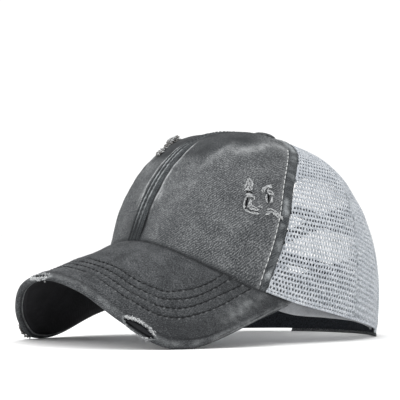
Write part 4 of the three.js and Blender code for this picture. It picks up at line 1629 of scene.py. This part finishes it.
@dataclass
class Closure:
    """The cotton tab below the straps, and the black strip that it closes on."""

    crown: Crown = CROWN
    top: float = 22.0
    left: float = 47.2
    proud: float = 0.4
    cloth: float = 1.7
    end: Curve = Curve(((0, -46), (8, -44), (16, -41.9), (19, -40.6), (21, -38.6), (22, -35.5)))
    strip_low: float = 2.0
    strip_top: float = 20.0
    strip_right: float = -69.0
    strip_left: float = 43.0
    strip_depth: float = 2.0
    strip_thick: float = 1.0

    def tab(self) -> None:
        """Builds the tab, with a raised edge and topstitching."""
        swell = Crumple(16, 0.12, seed=90)

        def place(u: Array, v: Array) -> tuple[Array, Array]:
            z = v * self.top
            start = self.end(z)
            return start + (self.left - start) * u, z

        def edge_mm(u: Array, v: Array) -> Array:
            x, z = place(u, v)
            return np.minimum(np.minimum(self.top - z, z + 0.4), x - self.end(z))

        def shape(u: Array, v: Array) -> Array:
            x, z = place(u, v)
            rim = edge_mm(u, v)
            out = self.proud - 0.35 * hump(rim, 3.0, 0.7) + swell(x, z) - 0.5 * np.exp(-rim / 0.5)
            turn = self.crown.turn_at_x(x, z)
            return self.crown.at_height(turn, z, out)

        def worn(u: Array, v: Array) -> Array:
            return 0.4 * np.exp(-edge_mm(u, v) / 0.9)

        mesh = unit_grid(90, 26)
        lay_out(mesh, shape, place, {WORN: worn})
        face_away(mesh, (0, 60, 60))
        name = "closure_tab"
        sew_in(name, mesh, PANEL_TWILL.material(), (name,), wall=self.cloth)
        stitches = bmesh.new()
        x = np.linspace(-37, self.left - 1, 90)
        z = np.full(x.shape, self.top - 3.0)
        turn = self.crown.turn_at_x(x, z)
        line = self.crown.at_height(turn, z, self.proud - 0.05)
        TAB_STITCH.sew(stitches, line, self.crown.normals(turn, self.crown.up_at_height(turn, z)))
        sew_in("tab_topstitching", stitches, PALE_THREAD.material())

    def strip(self) -> None:
        """Builds the black strip behind the tab."""
        ends = self.crown.turn_at_x(np.array([self.strip_right, self.strip_left]), np.array([10.0, 10.0]))
        turn = np.linspace(ends[0] + math.tau, ends[1], 80)
        z = np.full(turn.shape, (self.strip_low + self.strip_top) / 2)
        path = self.crown.at_height(turn, z, -self.strip_depth - self.strip_thick / 2)
        out = self.crown.normals(turn, self.crown.up_at_height(turn, z))
        mesh = tape_along(path, out, self.strip_top - self.strip_low, self.strip_thick, around=28)
        sew_in("closure_strip", mesh, LoopPile().material(), ("closure_strip",))

    def build(self) -> None:
        """Builds the tab and the strip."""
        self.tab()
        self.strip()


@dataclass
class Sweatband:
    """The grey cotton band inside the rim, rolled at its lower edge."""

    crown: Crown = CROWN
    depth: float = 3.5
    thick: float = 1.5
    left_end: float = 147.0
    right_end: float = 126.0
    full_tall: float = 28.0
    foot: Curve = Curve((
        (0, 66.5), (15, 64), (30, 56.5), (45, 44.5), (60, 29.5), (75, 20), (93, 16.6), (112, 13),
        (135, 6.6), (150, 3.6),
    ))
    tall: Curve = Curve(((0, 28), (93, 28), (112, 26), (135, 22), (150, 19)))

    def build(self) -> None:
        """Builds the band."""
        swell = Crumple(21, 0.25, seed=95)

        def place(u: Array, v: Array) -> tuple[Array, Array]:
            turn = np.radians(u * (self.left_end + self.right_end) - self.right_end)
            degrees = np.abs(np.degrees(turn))
            return turn, self.foot(degrees) + self.tall(degrees) * v

        def shape(u: Array, v: Array) -> Array:
            turn, z = place(u, v)
            rim = v * self.full_tall
            out = -self.depth + np.minimum(swell(turn * ROUND_MM, z), 0.2)
            out = out + 0.35 * hump(rim, 0.8, 1.0) - 0.3 * hump(rim, 4, 0.8)
            return self.crown.at_height(turn, z, out)

        def weave(u: Array, v: Array) -> tuple[Array, Array]:
            return place(u, v)[0] * ROUND_MM, v * self.full_tall

        def worn(u: Array, v: Array) -> Array:
            return 0.3 * np.exp(-v * 16)

        mesh = unit_grid(260, 22)
        lay_out(mesh, shape, weave, {WORN: worn})
        face_away(mesh, (0, 0, 40))
        sew_in("sweatband", mesh, BAND_TWILL.material(), ("sweatband",), wall=self.thick)


@dataclass(frozen=True)
class PeakHole:
    """A hole worn through the peak's cover: a lens with pointed ends and a fringe along one side.

    Its middle and half its length are shares along the peak's edge. Where it lies across the edge
    and half its width are millimetres round the section, inwards from the top of the rim.
    """

    middle: float
    across: float
    half_long: float
    half_wide: float
    fringe: int

    def away(self, share: Array, w: Array) -> Array:
        """How far places lie from the hole's middle, 1 on its edge."""
        return np.abs(w - self.across) / self.half_wide + ((share - self.middle) / self.half_long) ** 2


@dataclass
class Peak:
    """The bent peak: a quilted cover rolled round its edge, torn in places, over a black board."""

    crown: Crown = CROWN
    end_turn: float = 75.3
    half: float = 2.1
    cloth: float = 0.95
    wrap: float = 4.6
    board_half: float = 0.75
    board_inset: float = 2.6
    columns: int = 330
    run: float = 212.0
    under: float = 1.1
    across: Curve = mirrored((
        (0, 0), (0.18, 34.1), (0.36, 59.7), (0.52, 75.5), (0.6, 80.7), (0.68, 84.4), (0.84, 88.4), (1, 79.3),
    ), -1)
    out: Curve = mirrored((
        (0, -167.8), (0.18, -163.6), (0.36, -150.4), (0.52, -131.3), (0.6, -116.3), (0.68, -99.6),
        (0.84, -64.3), (1, -24.7),
    ))
    up: Curve = mirrored((
        (0, 44.3), (0.18, 36.9), (0.36, 18.6), (0.52, 3.2), (0.6, 0.5), (0.68, 3.0), (0.84, 16.3), (1, 28.0),
    ))
    outer_row: Curve = Curve((
        (0, 18.5), (0.145, 18), (0.28, 17.5), (0.36, 18.8), (0.45, 20), (0.53, 25), (0.6, 30), (0.7, 35.5),
        (0.8, 42),
    ))
    inner_row: Curve = Curve((
        (0, 35), (0.165, 36.5), (0.275, 36), (0.38, 38.5), (0.435, 41), (0.48, 46.5), (0.53, 52.5),
        (0.565, 57), (0.605, 62.5), (0.65, 70),
    ))
    row_count: int = 4
    holes: tuple[PeakHole, ...] = (
        PeakHole(0.433, -0.1, 0.066, 4.5, 1),
        PeakHole(-0.025, -1.2, 0.055, 1.5, -1),
    )
    frayed_edge: tuple[float, float] = (-0.555, -0.46)

    def sheet(self, share: Array) -> tuple[Array, Array, Array, Array]:
        """The peak's middle sheet.

        Args:
            share: Places along the edge, -1 at the wearer's right to 1 at the left.

        Returns:
            The outer edge, the unit direction inwards, the unit direction up, and the length from
            the edge to the crown.
        """
        def edge(at: Array) -> Array:
            at = np.clip(at, -1, 1)
            return np.stack([self.across(at), self.out(at), self.up(at)], axis=-1)

        step = 0.004
        outer, inner = edge(share), self.root(share)
        along = edge(share + step) - edge(share - step) + self.root(share + step) - self.root(share - step)
        length = np.linalg.norm(inner - outer, axis=-1, keepdims=True)
        into_crown = -self.crown.normals(math.radians(self.end_turn) * share, np.zeros(np.shape(share)))
        clear = smoothstep(length, 0, 27)
        inward = unit((inner - outer) / length * clear + into_crown * (1 - clear))
        normal = unit(np.cross(along, inward))
        normal = normal * np.where(normal[..., 2:] < 0, -1, 1)
        return outer, inward, normal, length[..., 0]

    def root(self, share: Array) -> Array:
        """Where the peak's middle sheet meets the crown."""
        return self.crown.at(math.radians(self.end_turn) * share, np.zeros(np.shape(share)), 0.0, self.half)

    def thin(self, share: Array) -> Array:
        """Half the peak's thickness, less towards its two ends."""
        return self.half * (0.35 + 0.65 * smoothstep(1 - np.abs(share), 0, 0.09))

    def section(self, share: Array, w: Array, puff: Array) -> Array:
        """Places round the cover's section.

        Args:
            share: Places along the edge.
            w: Millimetres from the top of the rolled rim, inwards where positive and round under
                the rim where negative.
            puff: How far the cloth stands off its plain place.

        Returns:
            The places.
        """
        outer, inward, normal, length = self.sheet(share)
        half = self.thin(share)
        angle = np.clip(-w / half, 0, math.pi) + math.pi / 2
        under = np.maximum(-w - math.pi * half, 0)
        radius = half + np.where(w < 0, puff, 0)
        inset = np.where(w >= 0, half + w, half + radius * np.cos(angle) + under)
        height = np.where(w >= 0, half + puff, radius * np.sin(angle))
        inset = np.minimum(inset, length - 0.15)
        # Near its ends the middle sheet turns into the crown, but the cloth on top runs up to the hem
        root = self.root(share)
        root[:, 2] += self.half - half
        way_in = np.maximum(w, 0) / np.maximum(length - half, 1)
        lift = (root - outer - inward * length[:, None]) * way_in[:, None]
        return outer + inward * inset[:, None] + normal * height[:, None] + lift

    def rows_at(self, share: Array) -> list[Array]:
        """How far in from the edge each row of stitches runs."""
        first, last = self.outer_row(np.abs(share)), self.inner_row(np.abs(share))
        return [first + (last - first) * k / (self.row_count - 1) for k in range(self.row_count)]

    def cover(self) -> None:
        """Builds the twill cover."""
        low_swell, fine_swell = Crumple(34, 0.3, seed=101), Crumple(11, 0.12, seed=102, waves=11)
        bottom = -(math.pi * self.half + self.wrap - self.half)
        spans = np.linspace(-1, 1, 400)
        reach = self.sheet(spans)[3]
        nose = 0.2  # the share of the columns that goes round the rim

        def place(u: Array, v: Array) -> tuple[Array, Array]:
            share = 2 * u - 1
            top = np.maximum(np.interp(share, spans, reach) - self.thin(share), 0.4)
            w = np.where(v < nose, bottom * (1 - v / nose), top * (np.maximum(v - nose, 0) / (1 - nose)))
            return share, w

        def run_mm(share: Array) -> Array:
            return share * self.run

        def quilt(share: Array, w: Array) -> Array:
            inset = w + self.half
            out = np.zeros(share.shape)
            for k, row in enumerate(self.rows_at(share)):
                pucker = 1 + 0.45 * np.sin(run_mm(share) * math.tau / 4.6 + 2 * k)
                out = out - 0.5 * pucker * hump(inset, row, 0.95)
                out = out + 0.16 * hump(inset, row + 3, 1.6) * np.sin(run_mm(share) * math.tau / 9.2 + k)
            return out

        def puff(share: Array, w: Array) -> Array:
            free = smoothstep(w, 0, 8)
            out = (low_swell(run_mm(share), w) + fine_swell(run_mm(share), w)) * free + quilt(share, w)
            groove = 0.2 * hump(w, 6.6, 0.9) - 0.38 * hump(w, 4.4, 0.8)
            out = out + groove * plain_ends(share) + 0.12 * fine_swell(run_mm(share) * 1.7, w)
            for hole in self.holes:
                out = out + 0.45 * hump(hole.away(share, w), 1.15, 0.3)
            return out

        def plain_ends(share: Array) -> Array:
            return 1 - smoothstep(np.abs(share), 0.68, 0.78)

        def shape(u: Array, v: Array) -> Array:
            share, w = place(u, v)
            return self.section(share, w, puff(share, w))

        def worn(u: Array, v: Array) -> Array:
            share, w = place(u, v)
            run = run_mm(share)
            patchy = 0.65 + 0.5 * np.sin(run / 9.1 + 1) * np.sin(run / 4.3) + 0.25 * np.sin(run / 2.1)
            rim = 0.2 * hump(w, 0.3, 2.4) * np.clip(patchy, 0.1, 1.1)
            rim = rim + 0.35 * hump(w, -2.4, 0.7) * (1 - plain_ends(share)) + 0.6 * hump(w, bottom + 0.3, 0.5)
            patch = 0.3 * hump(np.abs(share), 0.76, 0.07) * hump(w, 19, 9)
            lit = rim + patch
            for hole in self.holes:
                beyond = (hole.away(share, w) - 1) * hole.half_wide
                fringe = smoothstep((w - hole.across) * hole.fringe / hole.half_wide, 0, 0.3)
                fringe = fringe * (1 - 0.7 * smoothstep((share - hole.middle) / hole.half_long, 0.1, 0.9))
                lit = lit + 0.4 * hump(beyond, 0.4, 0.7) + 0.5 * hump(beyond, 0.9, 1.3) * fringe
            for k, row in enumerate(self.rows_at(share)):
                spots = np.maximum(np.sin(run * math.tau / 4.6 + 2 * k + 2.5), 0) ** 4
                lit = lit + 0.45 * spots * hump(w + self.half, row - 1.2, 0.7)
            return np.clip(lit, 0, 1)

        def dyed(u: Array, v: Array) -> Array:
            share, w = place(u, v)
            # Darker in the groove behind the rim; the band just under the rim is painted shade under the peak
            dark = 0.6 * hump(w, 4.6, 0.9) * plain_ends(share) + 0.9 * hump(w, bottom + 1.7, 0.6)
            # Painted shadow along the root, where the peak meets the crown
            dark = dark + 1 - smoothstep(self.sheet(share)[3] - w, 1.8, 5)
            # Painted shade over the peak's outer parts, deepening towards both ends
            dark = dark + 0.3 * (1 - smoothstep(np.abs(w - 13), 4, 12)) * smoothstep(np.abs(share), 0.3, 0.5)
            dark = dark + 0.25 * smoothstep(np.abs(share), 0.42, 0.56)
            for row in self.rows_at(share):
                dark = dark + 0.8 * hump(w + self.half, row, 0.9)
            return np.clip(dark, 0, 1)

        mesh = unit_grid(self.columns, 74)
        centres = np.array([face.calc_center_median()[:2] for face in mesh.faces])
        share, w = place(centres[:, 0], centres[:, 1])
        gone = np.zeros(share.shape, bool)
        ragged = 1 + 0.05 * np.sin(run_mm(share) * 2.1) + 0.04 * np.sin(run_mm(share) * 3.7 + w * 2)
        for hole in self.holes:
            gone |= hole.away(share, w) < ragged
        bmesh.ops.delete(mesh, geom=[face for face, cut in zip(mesh.faces, gone) if cut], context="FACES")
        lay_out(mesh, shape, lambda u, v: (run_mm(place(u, v)[0]), place(u, v)[1]), {WORN: worn, DYE_AND_SHADE: dyed})
        face_away(mesh, (0, -110, 20))
        sew_in("peak_cover", mesh, PEAK_TWILL.material(), ("peak_cover",), wall=self.cloth)

    def layer(
        self, name: str, inset: float, height: float, thick: float, finish: bpy.types.Material, ends: float
    ) -> None:
        """Builds a plain inner layer of the peak.

        Args:
            name: The name of the piece and its CAD node.
            inset: How far in from the edge it starts.
            height: Its upper face's height above the middle sheet.
            thick: Its thickness.
            finish: Its material.
            ends: How far along the edge it reaches, as a share.
        """
        def place(u: Array, v: Array) -> tuple[Array, Array, Array]:
            share = (2 * u - 1) * ends
            length = self.sheet(share)[3]
            start = np.minimum(inset, length * 0.5)
            return share, start + (length - 0.3 - start) * v, self.thin(share) / self.half

        def shape(u: Array, v: Array) -> Array:
            share, deep, scale = place(u, v)
            outer, inward, normal, _ = self.sheet(share)
            return outer + inward * deep[:, None] + normal * (height * scale)[:, None]

        mesh = unit_grid(180, 24)
        lay_out(mesh, shape, lambda u, v: (place(u, v)[0] * self.run, place(u, v)[1]))
        face_away(mesh, (0, -110, -300))
        sew_in(name, mesh, finish, (name,), wall=thick)

    def stitching(self) -> None:
        """Builds the dark stitches in the four quilted rows."""
        mesh = bmesh.new()
        share = np.linspace(-0.83, 0.83, 900)
        outer, inward, normal, length = self.sheet(share)
        for row in self.rows_at(share):
            fits = row < length - 1.0
            line = outer + inward * row[:, None] + normal * (self.thin(share) - 0.28)[:, None]
            PEAK_STITCH.sew(mesh, line[fits], normal[fits])
        sew_in("peak_stitching", mesh, DARK_THREAD.material())

    def frays(self) -> None:
        """Builds the pale yarn round the holes and at the worn edge."""
        bundle = Frays(seed=43, thick=0.4, length=1.8, spread=1.4, lift=0.4)
        for hole in self.holes:
            for edge, low, high, count in ((1, -0.96, -0.1, 70), (1, -0.1, 0.9, 34), (-1, -0.9, 0.9, 14)):
                place = np.linspace(low, high, 30)
                share = hole.middle + hole.half_long * place
                w = hole.across + edge * hole.fringe * (hole.half_wide * (1 - place**2) + 0.4 + 0.3 * edge)
                line = self.section(share, w, np.full(place.shape, 0.2))
                faces = unit(self.section(share, w, np.full(place.shape, 1.2)) - line)
                bundle.scatter(line, faces, count, slant=0.75)
        share = np.linspace(*self.frayed_edge, 30)
        w = np.full(share.shape, -self.half * 0.8)
        line = self.section(share, w, np.zeros(share.shape))
        faces = unit(self.section(share, w, np.ones(share.shape)) - line)
        sew_in("peak_frays", bundle.finish(), FRAYED_YARN.material())
        ragged = Frays(seed=44, thick=0.8, length=3.2, spread=2.0, lift=1.3)
        ragged.scatter(line, faces, 70, slant=0.9)
        sew_in("peak_edge_frays", ragged.finish(), DYED_YARN.material())

    def build(self) -> None:
        """Builds the peak from the inside out."""
        board, twill = MouldedBoard().material(), UNDER_TWILL.material()
        self.layer("peak_board", self.board_inset, self.board_half, 2 * self.board_half, board, 0.965)
        self.layer("peak_underside", self.wrap + 0.3, self.under - self.half, self.under, twill, 0.985)
        self.cover()
        self.stitching()
        self.frays()


@dataclass
class TopButton:
    """The cloth-covered button where the panels meet, gathered towards its middle."""

    crown: Crown = CROWN
    radius: float = 8.3
    tall: float = 4.2
    clear: float = 0.9
    rim: float = 1.4
    segments: int = 64

    def build(self) -> None:
        """Builds the button."""
        mesh = bmesh.new()
        turns = np.linspace(0, math.pi / 2, 14)
        profile = [(x, self.clear) for x in (0.0, self.radius * 0.6, self.radius - self.rim / 2)]
        foot, dome = self.clear + self.rim, self.tall - self.rim
        profile += [(self.radius * math.cos(turn), foot + dome * math.sin(turn)) for turn in turns]
        profile[-1] = (0.0, profile[-1][1])
        chain = [mesh.verts.new((x * MM, 0, z * MM)) for x, z in profile]
        edges = [mesh.edges.new(pair) for pair in zip(chain[:-1], chain[1:])]
        bmesh.ops.spin(
            mesh, geom=chain + edges, cent=(0, 0, 0), axis=(0, 0, 1), angle=math.tau, steps=self.segments,
            use_merge=True,
        )
        bmesh.ops.remove_doubles(mesh, verts=mesh.verts[:], dist=1e-3 * MM)
        for vertex in mesh.verts:
            away = math.hypot(vertex.co.x, vertex.co.y) / (self.radius * MM)
            turn = math.atan2(vertex.co.y, vertex.co.x)
            gather = 0.12 * math.sin(turn * 11) * away**2 * (1 - 0.6 * away)
            vertex.co.z += gather * MM
        bmesh.ops.recalc_face_normals(mesh, faces=mesh.faces[:])
        weave, dyed = mesh.loops.layers.uv.new(WEAVE), mesh.verts.layers.float.new(DYE_AND_SHADE)
        for vertex in mesh.verts:
            vertex[dyed] = 0.5
        for face in mesh.faces:
            for loop in face.loops:
                loop[weave].uv = loop.vert.co.xy / MM
        lean = Matrix.Rotation(-math.radians(self.crown.tip_back), 4, "X")
        seat = Vector((0, self.crown.button_y + FORWARD, self.crown.top)) * MM
        bmesh.ops.transform(mesh, matrix=Matrix.Translation(seat) @ lean, verts=mesh.verts[:])
        sew_in("button", mesh, PANEL_TWILL.material(), ("button",))


@dataclass
class CrownTopTear:
    """The frayed tear over the top of the wearer's right front panel."""

    crown: Crown = CROWN
    path: Points = ((-22, 0.50), (-27, 0.555), (-31, 0.60), (-35, 0.66))
    steps: int = 40
    # Lumps along the tear: the steps where each starts and ends, how far it stands out, how full it is
    lumps: tuple[tuple[int, int, float, float], ...] = (
        (0, 13, 0.2, 0.3), (19, 38, 0.3, 0.45), (25, 36, 2.2, 0.55),
    )

    def build(self) -> None:
        """Builds the ruffled lumps of raised threads."""
        turn, up = along_points(self.path, self.steps)
        dyed = Frays(seed=47, thick=0.7, length=3.6, spread=2.2, lift=1.4)
        pale = Frays(seed=48, thick=0.45, length=3.4, spread=2.6, lift=1.7)
        for first, last, out, full in self.lumps:
            here = slice(first, last)
            line = self.crown.at(turn[here], up[here], out)
            faces = self.crown.normals(turn[here], up[here])
            dyed.scatter(line, faces, round(150 * full), slant=0.9)
            pale.scatter(line, faces, round(60 * full), slant=0.9)
        sew_in("tear_ruffle_right", dyed.finish(), DYED_YARN.material())
        sew_in("tear_frays_right", pale.finish(), FRAYED_YARN.material())


def towards(azimuth: float, elevation: float) -> Vector:
    """The unit direction from the cap to a camera or a light, by degrees round and up."""
    turn, rise = math.radians(azimuth), math.radians(elevation)
    return Vector((math.sin(turn) * math.cos(rise), -math.cos(turn) * math.cos(rise), math.sin(rise)))


@dataclass
class Studio:
    """A white paper sweep under soft light, and a long lens near the floor."""

    azimuth: float = 51.568
    elevation: float = 0.753
    distance_mm: float = 1544.5
    target_mm: tuple[float, float, float] = (0.0, -20.0, 67.4)
    frame_px: float = 400.0
    focal_px: float = 2241.35
    centre_px: tuple[float, float] = (222.53, 240.84)
    sensor_mm: float = 36.0
    floor_m: float = 12.0
    surround: float = 1.08
    lights_aim_m: float = 0.06

    def camera(self) -> None:
        """Places the camera as the photograph's was."""
        data = bpy.data.cameras.new("camera")
        data.sensor_width = self.sensor_mm
        data.lens = self.focal_px / self.frame_px * self.sensor_mm
        data.shift_x = -(self.centre_px[0] / self.frame_px - 0.5)
        data.shift_y = self.centre_px[1] / self.frame_px - 0.5
        data.clip_start, data.clip_end = 0.05, 50
        camera = bpy.data.objects.new("camera", data)
        away = towards(self.azimuth, self.elevation)
        target = Vector((self.target_mm[0], self.target_mm[1] + FORWARD, self.target_mm[2])) * MM
        camera.location = target + away * self.distance_mm * MM
        camera.rotation_euler = (-away).to_track_quat("-Z", "Y").to_euler()
        bpy.context.scene.collection.objects.link(camera)
        bpy.context.scene.camera = camera

    def floor(self) -> None:
        """Lays the paper."""
        mesh = bmesh.new()
        bmesh.ops.create_grid(mesh, x_segments=1, y_segments=1, size=self.floor_m / 2)
        data = bpy.data.meshes.new("studio_paper")
        mesh.to_mesh(data)
        mesh.free()
        data.materials.append(SeamlessPaper().material())
        floor = bpy.data.objects.new("studio_paper", data)
        bpy.context.scene.collection.objects.link(floor)

    def light(
        self, name: str, azimuth: float, elevation: float, away: float, size: float, watts: float
    ) -> None:
        """Adds a square soft light that faces the cap.

        Args:
            name: The light's name.
            azimuth: Its direction, as the camera's.
            elevation: Its height over the floor, in degrees.
            away: Its distance in metres.
            size: The side of its square in metres.
            watts: Its power.
        """
        data = bpy.data.lights.new(name, "AREA")
        data.energy, data.size = watts, size
        light = bpy.data.objects.new(name, data)
        aim = towards(azimuth, elevation)
        light.location = aim * away + Vector((0, 0, self.lights_aim_m))
        light.rotation_euler = aim.to_track_quat("Z", "Y").to_euler()
        bpy.context.scene.collection.objects.link(light)

    def build(self) -> None:
        """Sets the camera, the paper, the lights and the white surroundings."""
        self.camera()
        self.floor()
        world = bpy.data.worlds.new("white studio")
        world.use_nodes = True
        background = world.node_tree.nodes["Background"]
        background.inputs["Color"].default_value = (1, 1, 1, 1)
        background.inputs["Strength"].default_value = self.surround
        bpy.context.scene.world = world
        self.light("overhead softbox", 30, 78, 1.6, 1.6, 13)
        self.light("left softbox", -5, 32, 1.8, 1.0, 9)
        bpy.context.scene.view_settings.view_transform = "Standard"


def main() -> None:
    """Builds the studio and the cap, piece by piece."""
    logging.basicConfig(level=logging.INFO, format="%(name)s %(message)s")
    Studio().build()
    parts = (
        FrontPanels, CentreSeam, MeshGores, BackOpening, Closure, Sweatband, Peak, TopButton, CrownTopTear,
    )
    for part in parts:
        part().build()


if __name__ == "__main__":
    main()
